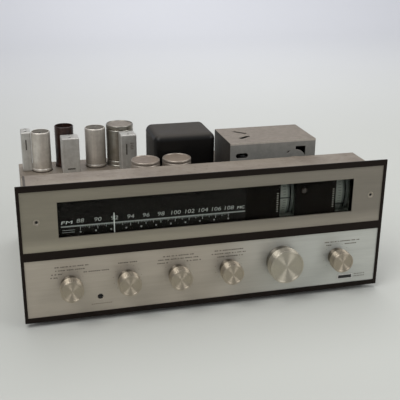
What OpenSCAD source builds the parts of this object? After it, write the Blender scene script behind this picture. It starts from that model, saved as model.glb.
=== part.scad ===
// Valve FM tuner with its cover off: front panel, dial and its cord drive, chassis and what stands on it.
// Working frame: x from the panel's left edge, y back from the panel's front face, z up from the
// panel's bottom edge. place() moves this to the stored frame, whose origin is under the part's middle.

/* [Front panel] */
// Width of the front panel
panel_w = 375; // [374:0.5:378]
// Height of the front panel
panel_h = 141.9; // [141.5:0.1:143]
// Height of the frame's top rail
rail_top = 6.1; // [5:0.1:6.5]
// Height of the frame's bottom rail
rail_bottom = 5; // [4:0.1:5.5]
// Width of the frame's two side rails
rail_side = 3; // [2:0.1:4]
// Lower edge of the middle rail
rail_mid_low = 66; // [65:0.1:67]
// Upper edge of the middle rail
rail_mid_high = 74.3; // [73.5:0.1:75]
// How far the two face plates lie behind the frame's front edge
face_recess = 1.2; // [0.8:0.1:1.4]
// Thickness of the two face plates
plate_t = 1.8; // [1.5:0.1:1.8]

/* [Dial] */
// Left edge of the dial window
win_x = 37.1; // [36:0.1:38]
// Width of the dial window
win_w = 302.1; // [301:0.1:303]
// Lower edge of the dial window
win_z = 87.3; // [86:0.1:88]
// Height of the dial window
win_h = 36.2; // [35:0.1:37]
// Where the dial scale ends and the meter mask begins
scale_end = 224.7; // [220:0.1:228]
// Place of the pointer at rest
pointer_x = 91; // [70:0.5:200]

/* [Knobs] */
// Diameter of the five small knobs
knob_d = 22.5; // [18:0.5:24]
// Length of the five small knobs
knob_len = 18.2; // [15:0.2:20]
// Diameter of the tuning knob
tuning_knob_d = 36; // [30:0.5:38]
// Length of the tuning knob
tuning_knob_len = 18.6; // [16:0.2:22]
// Height of the small knobs' axes
knob_z = 38; // [36:0.5:40]
// Diameter of every control shaft
shaft_d = 6.35; // [6:0.05:6.35]

/* [Chassis] */
// Gap between the panel's end and the chassis side
chassis_inset = 8.5; // [7:0.5:9]
// Back face of the chassis
chassis_back = 236; // [232:1:250]
// Top of the main deck
deck_z = 90; // [90:0.1:90.4]
// Top of the raised cover behind the dial
shelf_z = 131.5; // [131:0.1:132]
// Back edge of the raised cover behind the dial
shelf_back = 63.5; // [63:0.1:64]
// Thickness of the chassis steel
sheet = 1.2; // [1:0.1:1.2]
// How far the feet hold the panel off the table
foot_drop = 5; // [4:0.5:8]

/* [Hidden] */
$fn = 64;

eps = 0.5;                      // how far a cutter runs past the face it cuts
frame_d = 8;                    // depth of the panel frame, and so the front of the chassis
gap = 0.3;                      // space between pieces that only lie side by side
run_fit = 0.06;                 // radial clearance of a turning shaft in its bearing
shaft_r = shaft_d / 2;
plate_back = face_recess + plate_t;
lip_t = 1.8;                    // thickness of the top rail's upper lip
rebate_h = 4.4;                 // how far the rebate behind that lip comes down
ledge = 5;                      // how far the frame reaches behind the face plates
web_x0 = 33;                    // inner ends of the frame's broad end webs, behind the dial plate
web_x1 = 343;

// control positions, left to right
selector_x = 45.8;
level_x = 101.9;
mode_x = 153.1;
muting_x = 206.3;
tuning_x = 263.4;
balance_x = 325.7;
tuning_z = 40;
preset_x = 74.4;
preset_z = 21;
bush_r = 4.75;                  // threaded bush of a control
bush_front = 2.2;
nut_t = 2.4;

// dial parts
screw_places = [[17.3, 105], [359.8, 104]];
glass_t = 1.3;
scale_y = 6.2;                  // front face of the dial scale and the meter mask
scale_z0 = 84.5;
scale_z1 = 128;
meter_xs = [261.4, 322.5];      // left edges of the two meter slots
meter_slot_w = 16.2;
meter_margin = 2;               // how far a meter case is wider than its slot
meter_y1 = 52;
meter_z0 = 85;
meter_z1 = 126;
meter_pivot = [46, 105.4];      // y and z of the needles' pivot
meter_scale_r = 35;
lamp_x = 286.9;
lamp_z = 112.7;

// cord drive: positive cord radii turn anticlockwise as seen from the front
cord_r = 0.45;
cord_lap = 0.3;                 // how far a straight run reaches into the arcs it joins
cord_ease = 0.05;               // how much narrower a straight run is on each side
cord_y = 12.5;                  // plane of the pointer cord
drive_y = 71;                   // plane of the drive cord
rail_z = 80;
rail_r = 1.5;
idler_r = 6;
idler_left = [30, rail_z];
idler_right = [250, rail_z];
idler_low = [238, rail_z - 2 * idler_r];
capstan_r = 4;                  // cord radius on the tuning shaft, so 4 mm of cord a radian
neck_r = 2.04;                  // cord radius on the shaft's neck, which drives the drum
drum_r = 24;
drum_c = [301, 103.5];
capstan_c = [tuning_x, tuning_z];

// chassis
ch_x0 = chassis_inset;
ch_x1 = panel_w - chassis_inset;
ch_y0 = frame_d;
cover_z = 2.8;                  // underside of the bottom cover
pan_z = cover_z + sheet;
flange_w = 9;                   // width of the side walls' inward flanges
foot_places = [[32, 34], [343, 34], [32, 208], [343, 208]];
bottom_screws = [[13, 60], [13, 180], [362, 60], [362, 180]];

// radio-frequency box and its tuning gang
rf_lo = [229, 78, deck_z];
rf_hi = [328, 140, 146];
rf_wall = 1;
gang_y0 = 82;
gang_y1 = 134;
gang_r = 11.5;
rotor_rest = 39.7;              // how far the rotor stands from full mesh at rest, degrees

// cans, shields and the transformer, as [x, y, outer radius, top]
shields = [[35.5, 207, 11.1, 137.5], [100, 211, 12.3, 137.7]];
black_shield = [64, 220, 11.4, 139.5];
// adjusting slots in the box's top as [x, y, angle, length, width]
rf_slots = [[252.2, 120.8, -45, 18, 4.2], [252, 100.4, 34, 15.5, 5.2]];
rf_tongue = [304.4, 121.8, 12.9]; // x, z and radius of the tongue that fills the front cut-out from below
rf_valve_places = [[250, 96], [250, 124]];
filter_can_at = [130, 213, 16.4, 140];
low_can_list = [[136.5, 80.8, 15.4, 134.5], [170.5, 80.8, 15.4, 134.5]];
// intermediate-frequency cans as [x0, x1, y0, y1, top]
if_can_list = [[13, 24.1, 205, 226, 137], [57.9, 78.4, 186, 205.5, 132], [125.5, 144, 174, 193.5, 135.4]];
trafo_lo = [151, 100];
trafo_hi = [219, 158];
trafo_core_h = 8;
trafo_top = 152.8;
trafo_round = 7;

// back panel
jack_xs = [112, 132, 152, 172];
jack_z = 30;
strip_x0 = 26;
strip_screws = [34, 48, 62, 76];
strip_z = 46;
fuse_x = 300;
outlet_x = 338;
gland_x = 262;
rear_z = 30;
jack_reach = 9.5;

rear_reach = chassis_back + jack_reach;
place_y = (tuning_knob_len - face_recess + 0.6 - rear_reach) / 2;

module place() { translate([-panel_w / 2, place_y, foot_drop]) children(); }

// ---- shapes that repeat ----

module slab(lo, hi) { translate(lo) cube(hi - lo); }

module rod_y(x, y, z, r, len) { translate([x, y, z]) rotate([-90, 0, 0]) cylinder(r = r, h = len); }

module rod_x(x, y, z, r, len) { translate([x, y, z]) rotate([0, 90, 0]) cylinder(r = r, h = len); }

module rod_z(x, y, z, r, len) { translate([x, y, z]) cylinder(r = r, h = len); }

module rounded_rect(w, d, r) {
    translate([r, 0]) square([w - 2 * r, d]);
    translate([0, r]) square([w, d - 2 * r]);
    for (x = [r, w - r], y = [r, d - r]) translate([x, y]) circle(r);
}

// One turned knob, its back at z 0 and its face upwards: narrower back body, groove, grip, fine line, face
module turned_knob(r, len) {
    back_r = r - 1.6;
    groove = len * 0.42;
    line = len - 3.2;
    rotate_extrude()
        polygon([[shaft_r + 0.02, 0], [back_r - 0.4, 0], [back_r, 0.4], [back_r, groove - 0.8],
                 [back_r - 1.2, groove - 0.8], [back_r - 1.2, groove + 0.4], [r - 0.3, groove + 0.4],
                 [r, groove + 0.8], [r, line], [r - 0.5, line + 0.3], [r - 0.5, line + 0.6],
                 [r, line + 0.9], [r, len - 0.9], [r - 0.7, len], [r - 1.8, len], [r - 2.4, len - 0.4],
                 [0, len - 0.9], [0, len - 4], [shaft_r + 0.02, len - 4]]);
}

module panel_knob(x, z, r, len) {
    translate([x, face_recess - 0.6, z]) rotate([90, 0, 0]) turned_knob(r, len);
}

// Control shaft from the knob back through its bush, with the rotors it carries as [y, radius, thickness]
module control_shaft(x, z, y_end, rotors) {
    color("silver") {
        rod_y(x, 4.6 - knob_len, z, shaft_r, y_end - 4.6 + knob_len);
        for (k = rotors) rod_y(x, k[0], z, k[1], k[2]);
    }
}

pot_rotor = [[13, 8.5, 2]];
switch_rotors = [[24, 6.5, 2], [38, 6.5, 2]];

// ---- front panel ----

module panel_frame() {
    color("#1a120d") difference() {
        slab([0, 0, 0], [panel_w, frame_d, panel_h]);
        slab([rail_side, -eps, rail_mid_high], [panel_w - rail_side, plate_back, panel_h - rail_top]);
        slab([rail_side, -eps, rail_bottom], [panel_w - rail_side, plate_back, rail_mid_low]);
        slab([web_x0, 0, rail_mid_high + ledge], [web_x1, frame_d + eps, panel_h - rail_top - ledge]);
        slab([rail_side + ledge, 0, rail_bottom + ledge],
             [panel_w - rail_side - ledge, frame_d + eps, rail_mid_low - ledge]);
        // rebate that leaves the top rail only a thin lip above the inner cover
        slab([-eps, lip_t, panel_h - rebate_h], [panel_w + eps, frame_d + eps, panel_h + eps]);
        for (p = screw_places) rod_y(p[0], 0, p[1], 1.8, frame_d + eps);
    }
}

module face_plate(z0, z1) {
    slab([rail_side + 0.1, face_recess, z0 + 0.1], [panel_w - rail_side - 0.1, plate_back, z1 - 0.1]);
}

module dial_fascia() {
    color("#6f6b60") difference() {
        face_plate(rail_mid_high, panel_h - rail_top);
        slab([win_x, 0, win_z], [win_x + win_w, 2 * frame_d, win_z + win_h]);
        for (p = screw_places) translate([p[0], face_recess, p[1]]) rotate([-90, 0, 0])
            cylinder(r1 = 3.6, r2 = 1.8, h = plate_t + 0.001);
    }
}

module control_fascia() {
    color("#97928a") difference() {
        face_plate(rail_bottom, rail_mid_low);
        for (x = [selector_x, level_x, mode_x, muting_x, balance_x]) rod_y(x, 0, knob_z, bush_r + 0.4, 6);
        rod_y(tuning_x, 0, tuning_z, bush_r + 0.4, 6);
        rod_y(preset_x, 0, preset_z, 2.9, 6);
    }
}

module name_plate() {
    color("#141414") difference() {
        slab([329, face_recess - 0.6, 10], [346, face_recess, 15.2]);
        slab([329.8, 0, 10.8], [345.2, face_recess - 0.4, 14.4]);
    }
}

// ---- dial ----

module dial_glass() {
    color("lightblue", 0.35)
        slab([web_x0 + 0.5, plate_back, rail_mid_high + ledge + 0.5],
             [web_x1 - 0.5, plate_back + glass_t, panel_h - rail_top - ledge - 0.5]);
}

module dial_scale() {
    color("#161616") slab([web_x0 + 0.5, scale_y, scale_z0], [scale_end, frame_d, scale_z1]);
}

module meter_mask() {
    color("#15100c") difference() {
        slab([scale_end + 0.2, scale_y, scale_z0], [web_x1 - 0.5, frame_d, scale_z1]);
        for (x = meter_xs) slab([x, 0, meter_z0 + 1.4], [x + meter_slot_w, 2 * frame_d, meter_z1 - 1.4]);
        rod_y(lamp_x, 0, lamp_z, 3.65, 2 * frame_d);
    }
}

module stereo_lamp() {
    color("silver") translate([lamp_x, scale_y - 1.2, lamp_z]) rotate([-90, 0, 0]) rotate_extrude()
        polygon([[0, 0.4], [2.2, 0.7], [2.8, 0.9], [3.2, 0.1], [3.9, 0.3], [4.3, 1.2], [3.6, 1.2], [3.6, 11],
                 [2.4, 11], [2.4, 13], [0, 13]]);
}

module meter_cases() {
    color("#3b3a36") for (x = meter_xs) {
        difference() {
            slab([x - meter_margin, frame_d, meter_z0], [x + meter_slot_w + meter_margin, meter_y1, meter_z1]);
            slab([x - meter_margin + 1.2, 0, meter_z0 + 1.2],
                 [x + meter_slot_w + meter_margin - 1.2, meter_y1 - 1.2, meter_z1 - 1.2]);
        }
        // curved scale, held by a rib to the case's left wall
        intersection() {
            difference() {
                rod_x(x - 1, meter_pivot[0], meter_pivot[1], meter_scale_r, 11.2);
                rod_x(x - 2, meter_pivot[0], meter_pivot[1], meter_scale_r - 0.8, 14);
            }
            slab([x - 2, frame_d, meter_z0 + 1], [x + 12, 24, meter_z1 - 1]);
        }
    }
}

module meter_needle(x, tilt) {
    translate([0, meter_pivot[0], meter_pivot[1]]) rotate([tilt, 0, 0]) {
        rod_x(x + 10.9, 0, 0, 1.6, 3.6);
        slab([x + 12, -meter_scale_r - 1.3, -0.4], [x + 12.8, 0, 0.4]);
        slab([x + 1, -meter_scale_r - 1.3, -0.5], [x + 12.8, -meter_scale_r - 0.5, 0.5]);
    }
}

module tuning_needle() { color("black") meter_needle(meter_xs[0], 0); }

module signal_needle() { color("black") meter_needle(meter_xs[1], 20); }

module pointer() {
    color("white") {
        slab([pointer_x - 0.6, 4.8, 80.6], [pointer_x + 0.6, 5.7, 109]);
        slab([pointer_x - 0.6, 4.8, 80.6], [pointer_x + 0.6, 10.6, 83.9]);
        difference() {
            slab([pointer_x - 5, 10.2, 77.6], [pointer_x + 5, 14.8, 84.2]);
            rod_x(pointer_x - 6, cord_y, rail_z, rail_r + 0.08, 12);
        }
        slab([pointer_x - 5, 10.2, 84], [pointer_x + 5, 11.4, 87.4]);
        slab([pointer_x - 5, 13.6, 84], [pointer_x + 5, 14.8, 87.4]);
    }
}

module pointer_rail() {
    color("silver") {
        rod_x(39.5, cord_y, rail_z, rail_r, 200);
        for (x = [39, 236]) slab([x, frame_d + sheet, 77.2], [x + 4, 15.8, 82.8]);
    }
}

// ---- cord drive ----

// Grooved wheel on a fixed pin, in the plane of its cord
module idler(c) {
    translate([c[0], cord_y, c[1]]) rotate([90, 0, 0]) rotate_extrude()
        polygon([[1.7, -1.6], [idler_r + 1.2, -1.6], [idler_r + 1.2, -1.1], [idler_r - cord_r, -0.5],
                 [idler_r - cord_r, 0.5], [idler_r + 1.2, 1.1], [idler_r + 1.2, 1.6], [1.7, 1.6]]);
    rod_y(c[0], frame_d + sheet, c[1], 1.7, 6);
}

module cord_pulleys() { color("#e6dfcc") for (c = [idler_left, idler_right, idler_low]) idler(c); }

// Angle at which a cord leaves wheel a for wheel b; each is [centre, signed radius]
function leave(a, b) =
    let (d = b[0] - a[0]) atan2(d[1], d[0]) - acos((a[1] - b[1]) / norm(d));
function touch(w, angle) = w[0] + w[1] * [cos(angle), sin(angle)];

// Pie slice of a large disc from one angle over another, for cutting arcs out of rings
module sector(start, turn) {
    polygon(concat([[0, 0]], [for (k = [0 : 6]) 60 * [cos(start + turn * k / 6), sin(start + turn * k / 6)]]));
}

// Closed flat-braided cord round a list of wheels: straight runs between wheels and arcs on them
module cord_loop(wheels) {
    n = len(wheels);
    linear_extrude(2 * cord_r, center = true) for (i = [0 : n - 1]) {
        a = wheels[i];
        b = wheels[(i + 1) % n];
        c = wheels[(i + 2) % n];
        out = leave(a, b);
        next = leave(b, c);
        from = touch(a, out);
        run = touch(b, out) - from;
        turn = b[1] > 0 ? (next - out + 720) % 360 : (out - next + 720) % 360;
        start = b[1] > 0 ? out : next + 180;
        translate(from) rotate(atan2(run[1], run[0])) translate([-cord_lap, cord_ease - cord_r])
            square([norm(run) + 2 * cord_lap, 2 * (cord_r - cord_ease)]);
        translate(b[0]) intersection() {
            difference() {
                circle(abs(b[1]) + cord_r);
                circle(abs(b[1]) - cord_r);
            }
            sector(start, turn);
        }
    }
}

module dial_cords() {
    color("#c9c2a8") {
        translate([0, cord_y, 0]) rotate([90, 0, 0])
            cord_loop([[idler_left, idler_r], [idler_low, -idler_r], [capstan_c, capstan_r],
                       [idler_right, idler_r]]);
        translate([0, drive_y, 0]) rotate([90, 0, 0]) cord_loop([[capstan_c, neck_r], [drum_c, drum_r]]);
    }
}

module tuning_knob() { color("#b8a898") panel_knob(tuning_x, tuning_z, tuning_knob_d / 2, tuning_knob_len); }

module tuning_shaft() {
    neck = neck_r - cord_r - gap;
    color("silver") {
        rod_y(tuning_x, 4.6 - tuning_knob_len, tuning_z, shaft_r, drive_y - 2 - 4.6 + tuning_knob_len);
        rod_y(tuning_x, drive_y - 3, tuning_z, neck, 6);
        rod_y(tuning_x, drive_y + 2, tuning_z, shaft_r, 14);
    }
}

module flywheel() {
    color("#9a958a") translate([tuning_x, 24, tuning_z]) rotate([-90, 0, 0]) rotate_extrude()
        polygon([[shaft_r, 0], [8, 0], [8, 4], [19, 4], [19, 0], [25.4, 0], [26, 0.6], [26, 13.4], [25.4, 14],
                 [19, 14], [19, 9], [8, 9], [8, 15], [shaft_r, 15]]);
}

// Front bush of the tuning shaft, and the bracket under the deck that carries its back end
module shaft_bearings() {
    color("#b08d4f") difference() {
        union() {
            rod_y(tuning_x, bush_front, tuning_z, bush_r, 9);
            translate([tuning_x, frame_d - nut_t, tuning_z]) rotate([-90, 0, 0]) cylinder(r = 7, h = nut_t, $fn = 6);
        }
        rod_y(tuning_x, 0, tuning_z, shaft_r + run_fit, 20);
    }
    color("#857c72") difference() {
        union() {
            slab([tuning_x - 11, 79, tuning_z - 8], [tuning_x + 11, 80.6, deck_z - sheet]);
            slab([tuning_x - 3, 79, deck_z - 2 * sheet], [tuning_x + 11, 92, deck_z - sheet]);
        }
        rod_y(tuning_x, 70, tuning_z, shaft_r + run_fit, 20);
    }
}

module cord_drum() {
    color("#cfc7b4") translate([drum_c[0], drive_y, drum_c[1]]) rotate([-90, 0, 0]) difference() {
        rotate_extrude()
            polygon([[shaft_r + 0.02, -4.5], [7, -4.5], [7, -1.5], [drum_r + 1.5, -1.5], [drum_r + 1.5, -1.2],
                     [drum_r - cord_r - gap, -0.8], [drum_r - cord_r - gap, 0.8], [drum_r + 1.5, 1.2],
                     [drum_r + 1.5, 1.5], [7, 1.5], [7, 4.5], [shaft_r + 0.02, 4.5]]);
        for (a = [0 : 60 : 300]) rotate([0, 0, a]) translate([14, 0, -5]) cylinder(r = 5, h = 10);
    }
}

// Gang shaft with half-round plates that turn between the fixed ones
module gang_rotor() {
    color("silver") {
        rod_y(drum_c[0], drive_y - 5.5, drum_c[1], shaft_r, gang_y1 + 4 - drive_y);
        translate([drum_c[0], 0, drum_c[1]]) rotate([0, rotor_rest, 0]) for (y = [92 : 4 : 120]) difference() {
            rod_y(0, y, 0, gang_r, 1);
            slab([0.5, y - 1, -20], [20, y + 2, 20]);
        }
    }
}

// Cradle of the gang: base, two bearing plates, and the fixed plates on their side bar
module gang_frame() {
    color("#a9a59b") difference() {
        union() {
            slab([276, gang_y0 - 2, deck_z], [326, gang_y1 + 2, deck_z + 1.6]);
            for (y = [gang_y0 - 2, gang_y1]) slab([278, y, deck_z], [324, y + 2, 126]);
            slab([279, gang_y0 - 1, 98], [284.5, gang_y1 + 1, 114]);
            for (y = [94 : 4 : 118]) difference() {
                slab([284, y, 94], [drum_c[0] - 0.5, y + 1, 118]);
                rod_y(drum_c[0], y - 1, drum_c[1], shaft_r + 2, 4);
            }
        }
        rod_y(drum_c[0], 70, drum_c[1], shaft_r + run_fit, 80);
    }
}

module rf_cover() {
    color("#857c72") difference() {
        slab(rf_lo, rf_hi);
        slab(rf_lo + [rf_wall, rf_wall, -eps], rf_hi - [rf_wall, rf_wall, rf_wall]);
        for (s = rf_slots) translate([s[0], s[1], 140]) rotate([0, 0, s[2]])
            translate([-s[3] / 2, -s[4] / 2, 0]) linear_extrude(10) rounded_rect(s[3], s[4], 2);
        // oval hole and the stepped cut-out in the front
        translate([235.9, 90, 128.9]) rotate([90, 0, 0]) linear_extrude(20) rounded_rect(13.4, 5.2, 2.5);
        difference() {
            union() {
                slab([295.3, 70, 126], [305, 90, 133.4]);
                slab([304.8, 70, 126], [315.9, 90, 138.2]);
            }
            rod_y(rf_tongue[0], 60, rf_tongue[1], rf_tongue[2], 40);
        }
        rod_y(drum_c[0], 70, drum_c[1], 6, 12);
    }
}

// ---- controls ----

module small_knob(x) { color("#ab9b8a") panel_knob(x, knob_z, knob_d / 2, knob_len); }

module selector_knob() { small_knob(selector_x); }
module level_knob() { small_knob(level_x); }
module mode_knob() { small_knob(mode_x); }
module muting_knob() { small_knob(muting_x); }
module balance_knob() { small_knob(balance_x); }
module selector_shaft() { control_shaft(selector_x, knob_z, 42, switch_rotors); }
module level_shaft() { control_shaft(level_x, knob_z, 17, pot_rotor); }
module mode_shaft() { control_shaft(mode_x, knob_z, 42, switch_rotors); }
module muting_shaft() { control_shaft(muting_x, knob_z, 17, pot_rotor); }
module balance_shaft() { control_shaft(balance_x, knob_z, 17, pot_rotor); }

// Threaded bush and click plate, two wafers and the two long studs that hold them
module rotary_switch(x) {
    back = frame_d + sheet;
    difference() {
        union() {
            rod_y(x, bush_front, knob_z, bush_r, back - bush_front + 1);
            rod_y(x, back, knob_z, 15, 5);
            for (y = [24, 38]) rod_y(x, y, knob_z, 18, 2);
            for (s = [-1, 1]) rod_y(x + s * 13, back + 1, knob_z, 1.6, 33);
        }
        rod_y(x, 0, knob_z, shaft_r + run_fit, 60);
        for (y = [24, 38]) rod_y(x, y - 1, knob_z, 6.5 + gap, 4);
    }
}

module rotary_switches() { color("#6b5a3c") for (x = [selector_x, mode_x]) rotary_switch(x); }

// Threaded bush and a can with its wiper chamber; three lugs stand below
module potentiometer(x) {
    back = frame_d + sheet;
    difference() {
        union() {
            rod_y(x, bush_front, knob_z, bush_r, back - bush_front + 1);
            rod_y(x, back, knob_z, 12, 11);
            for (s = [-6, 0, 6]) slab([x + s - 1.2, back + 2, knob_z - 19], [x + s + 1.2, back + 2.8, knob_z - 8]);
        }
        rod_y(x, 0, knob_z, shaft_r + run_fit, 18);
        rod_y(x, 11.5, knob_z, 8.5 + gap, 6.5);
    }
}

module potentiometers() {
    color("#8f8b80") {
        for (x = [level_x, muting_x, balance_x]) potentiometer(x);
        // the preset behind its hole in the panel
        difference() {
            union() {
                rod_y(preset_x, frame_d + sheet, preset_z, 7.5, 8);
                rod_y(preset_x, frame_d - 2, preset_z, 3.4, 5);
            }
            rod_y(preset_x, 0, preset_z, 2.4 + run_fit, 14);
        }
    }
}

module panel_nuts() {
    color("silver") for (x = [selector_x, level_x, mode_x, muting_x, balance_x]) difference() {
        translate([x, frame_d - nut_t, knob_z]) rotate([-90, 0, 0]) cylinder(r = 7, h = nut_t, $fn = 6);
        rod_y(x, 0, knob_z, bush_r, 20);
    }
}

module preset_spindle() {
    color("#4a3a26") difference() {
        rod_y(preset_x, plate_back - 0.4, preset_z, 2.4, 10.6);
        slab([preset_x - 3, 0, preset_z - 0.4], [preset_x + 3, plate_back + 0.8, preset_z + 0.4]);
    }
}

module dial_lamps() {
    color("#e8dcc0") for (x = [70, 180]) {
        rod_x(x, 22, 112, 3.2, 28);
        for (s = [2, 22]) slab([x + s, 20, 112], [x + s + 4, 24, shelf_z - sheet]);
    }
}

// ---- chassis ----

module chassis_deck() {
    color("#857c72") difference() {
        slab([ch_x0, ch_y0, deck_z - sheet], [ch_x1, chassis_back, deck_z]);
        // openings for the meters and for the cord drum
        slab([256, 0, 0], [web_x1, meter_y1 + gap, deck_z + eps]);
        slab([256, 65.5, 0], [336, 77, deck_z + eps]);
        for (v = concat(shields, [black_shield], rf_valve_places)) rod_z(v[0], v[1], deck_z - 5, 9, 10);
    }
}

// One side wall, from its lower left corner: an upright sheet with a flange turned inwards at its foot
module side_wall(x, inwards) {
    y0 = ch_y0 + sheet + gap;
    y1 = chassis_back - sheet - gap;
    slab([min(x, x + inwards * sheet), y0, pan_z], [max(x, x + inwards * sheet), y1, deck_z - sheet]);
    slab([min(x, x + inwards * flange_w), y0, pan_z], [max(x, x + inwards * flange_w), y1, pan_z + sheet]);
}

module chassis_walls() {
    color("#857c72") {
        difference() {
            slab([ch_x0, ch_y0, pan_z], [ch_x1, ch_y0 + sheet, deck_z - sheet]);
            // openings for the pointer's carriage and the meters
            slab([44, 0, 77], [235, ch_y0 + sheet + eps, scale_z0 + 3.6]);
            slab([256, 0, meter_z0 - gap], [web_x1, ch_y0 + sheet + eps, deck_z + eps]);
            for (x = [selector_x, level_x, mode_x, muting_x, balance_x]) rod_y(x, 0, knob_z, bush_r, 10);
            rod_y(tuning_x, 0, tuning_z, bush_r, 10);
            rod_y(preset_x, 0, preset_z, 3.4, 10);
        }
        difference() {
            slab([ch_x0, chassis_back - sheet, pan_z], [ch_x1, chassis_back, deck_z - sheet]);
            for (x = jack_xs) rod_y(x, chassis_back - 5, jack_z, 4.6, 10);
            rod_y(fuse_x, chassis_back - 5, rear_z, 6.3, 10);
            rod_y(gland_x, chassis_back - 5, rear_z, 5.5, 10);
            slab([outlet_x - 10, chassis_back - 5, rear_z - 9], [outlet_x + 10, chassis_back + 5, rear_z + 9]);
        }
        difference() {
            union() {
                side_wall(ch_x0, 1);
                side_wall(ch_x1, -1);
            }
            for (p = bottom_screws) rod_z(p[0], p[1], 0, 1.6, 8);
        }
    }
}

module dial_housing() {
    top = shelf_z - sheet;
    color("#877e73") difference() {
        union() {
            slab([ch_x0, ch_y0, top], [ch_x1, shelf_back, shelf_z]);
            for (x = [ch_x0, ch_x1 - sheet]) slab([x, ch_y0, deck_z], [x + sheet, shelf_back, shelf_z]);
            slab([ch_x0, ch_y0, deck_z], [web_x0 + 1, ch_y0 + sheet, shelf_z]);
            slab([web_x1 - 1, ch_y0, deck_z], [ch_x1, ch_y0 + sheet, shelf_z]);
            slab([ch_x0, ch_y0, meter_z1 + gap], [ch_x1, ch_y0 + sheet, shelf_z]);
            for (x = [ch_x0, ch_x1 - 14]) slab([x, ch_y0, deck_z], [x + 14, shelf_back, deck_z + sheet]);
            slab([ch_x0, shelf_back - sheet, deck_z], [ch_x1, shelf_back, shelf_z]);
        }
        for (p = screw_places) rod_y(p[0], 0, p[1], 1.8, 12);
        // air slots in the back wall
        for (x = [40 : 24 : 328]) slab([x, shelf_back - 5, 98], [x + 12, shelf_back + 5, 102]);
    }
}

module bottom_cover() {
    color("#857c72") difference() {
        slab([ch_x0, ch_y0, cover_z], [ch_x1, chassis_back, pan_z]);
        for (x = [60 : 30 : 300], y = [70, 110, 150]) slab([x, y, 0], [x + 4, y + 26, 6]);
        for (p = bottom_screws) rod_z(p[0], p[1], 0, 1.7, 8);
    }
}

module feet() {
    color("#1b1b1b") for (p = foot_places) difference() {
        translate([p[0], p[1], -foot_drop]) cylinder(r1 = 8, r2 = 9.5, h = foot_drop + cover_z);
        rod_z(p[0], p[1], -foot_drop - eps, 3.5, 3);
    }
}

// Pan-head screws, head towards -z
module pan_screw(len) {
    difference() {
        cylinder(r = 2.8, h = 1.5);
        translate([-3, -0.35, -eps]) cube([6, 0.7, eps + 0.7]);
    }
    translate([0, 0, 1.5]) cylinder(r = 1.55, h = len);
}

// Countersunk screw that holds the upper face plate, its head towards the user
module fascia_screw(p) {
    difference() {
        union() {
            translate([p[0], face_recess, p[1]]) rotate([-90, 0, 0]) cylinder(r1 = 3.55, r2 = 1.7, h = plate_t);
            rod_y(p[0], plate_back, p[1], 1.7, frame_d);
        }
        slab([p[0] - 0.4, 0, p[1] - 4], [p[0] + 0.4, face_recess + 0.7, p[1] + 4]);
    }
}

module machine_screws() {
    color("silver") {
        for (p = screw_places) fascia_screw(p);
        for (p = bottom_screws) translate([p[0], p[1], cover_z - 1.5]) pan_screw(6);
        for (x = strip_screws) translate([x, chassis_back + 5.5, strip_z]) rotate([90, 0, 0]) pan_screw(3);
    }
}

// ---- what stands on the deck ----

module transformer_core() {
    color("#2a2a2c") {
        slab([trafo_lo[0] - 2, trafo_lo[1] - 2, deck_z], [trafo_hi[0] + 2, trafo_hi[1] + 2, deck_z + trafo_core_h]);
        // winding under the cover
        slab([trafo_lo[0] + trafo_round + gap, trafo_lo[1] + trafo_round + gap, deck_z + trafo_core_h],
             [trafo_hi[0] - trafo_round - gap, trafo_hi[1] - trafo_round - gap, trafo_top - 4 - gap]);
    }
}

module transformer_cover() {
    r = trafo_round;
    low = deck_z + trafo_core_h;
    color("#111111") difference() {
        hull() {
            for (x = [trafo_lo[0] + r, trafo_hi[0] - r], y = [trafo_lo[1] + r, trafo_hi[1] - r]) {
                translate([x, y, trafo_top - r]) sphere(r, $fn = 32);
                translate([x, y, low]) cylinder(r = r, h = 1, $fn = 32);
            }
        }
        slab([trafo_lo[0] + r, trafo_lo[1] + r, low - eps], [trafo_hi[0] - r, trafo_hi[1] - r, trafo_top - 4]);
    }
}

// Thin spring tube round a valve, its top edge turned in
module valve_shield(v) {
    translate([v[0], v[1], 0]) rotate_extrude()
        polygon([[v[2] - 0.5, deck_z + 1], [v[2] + 0.5, deck_z + 1], [v[2] + 0.5, deck_z + 3.4], [v[2], deck_z + 3.9],
                 [v[2], v[3] - 0.7], [v[2] - 0.7, v[3]], [v[2] - 3, v[3]], [v[2] - 3, v[3] - 0.6],
                 [v[2] - 0.6, v[3] - 1.2]]);
}

module valve_shields() { color("#8f8a82") for (v = shields) valve_shield(v); }

module black_valve_shield() { color("#2b1a14") valve_shield(black_shield); }

module valves() {
    color("lightcyan", 0.5) for (v = concat(shields, [black_shield], rf_valve_places))
        translate([v[0], v[1], deck_z]) rotate_extrude()
            polygon([[0, 4.2], [9, 4.2], [9.6, 5.5], [9.6, 38], [8, 41.5], [4, 43.5], [1, 44.2], [0.6, 46], [0, 46.6]]);
}

module valve_sockets() {
    color("#3a2c22") for (v = concat(shields, [black_shield], rf_valve_places))
        translate([v[0], v[1], deck_z]) rotate_extrude()
            polygon([[3, -9], [8.4, -9], [8.4, -1], [8.9, -1], [8.9, 0], [12, 0], [12, 1], [9.4, 1], [9.4, 4.2], [3, 4.2]]);
}

module if_cans() {
    color("#a19c93") for (c = if_can_list) difference() {
        translate([c[0], c[2], deck_z]) linear_extrude(c[4] - deck_z)
            rounded_rect(c[1] - c[0], c[3] - c[2], 1.5);
        // core holes in the top, and the crimp slot near the foot of the front face
        for (y = [c[2] + 5, c[3] - 5]) rod_z((c[0] + c[1]) / 2, y, c[4] - 3, 2, 5);
        slab([(c[0] + c[1]) / 2 - 4, c[2] - 1, deck_z + 3.5], [(c[0] + c[1]) / 2 + 4, c[2] + 0.8, deck_z + 5]);
    }
}

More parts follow.
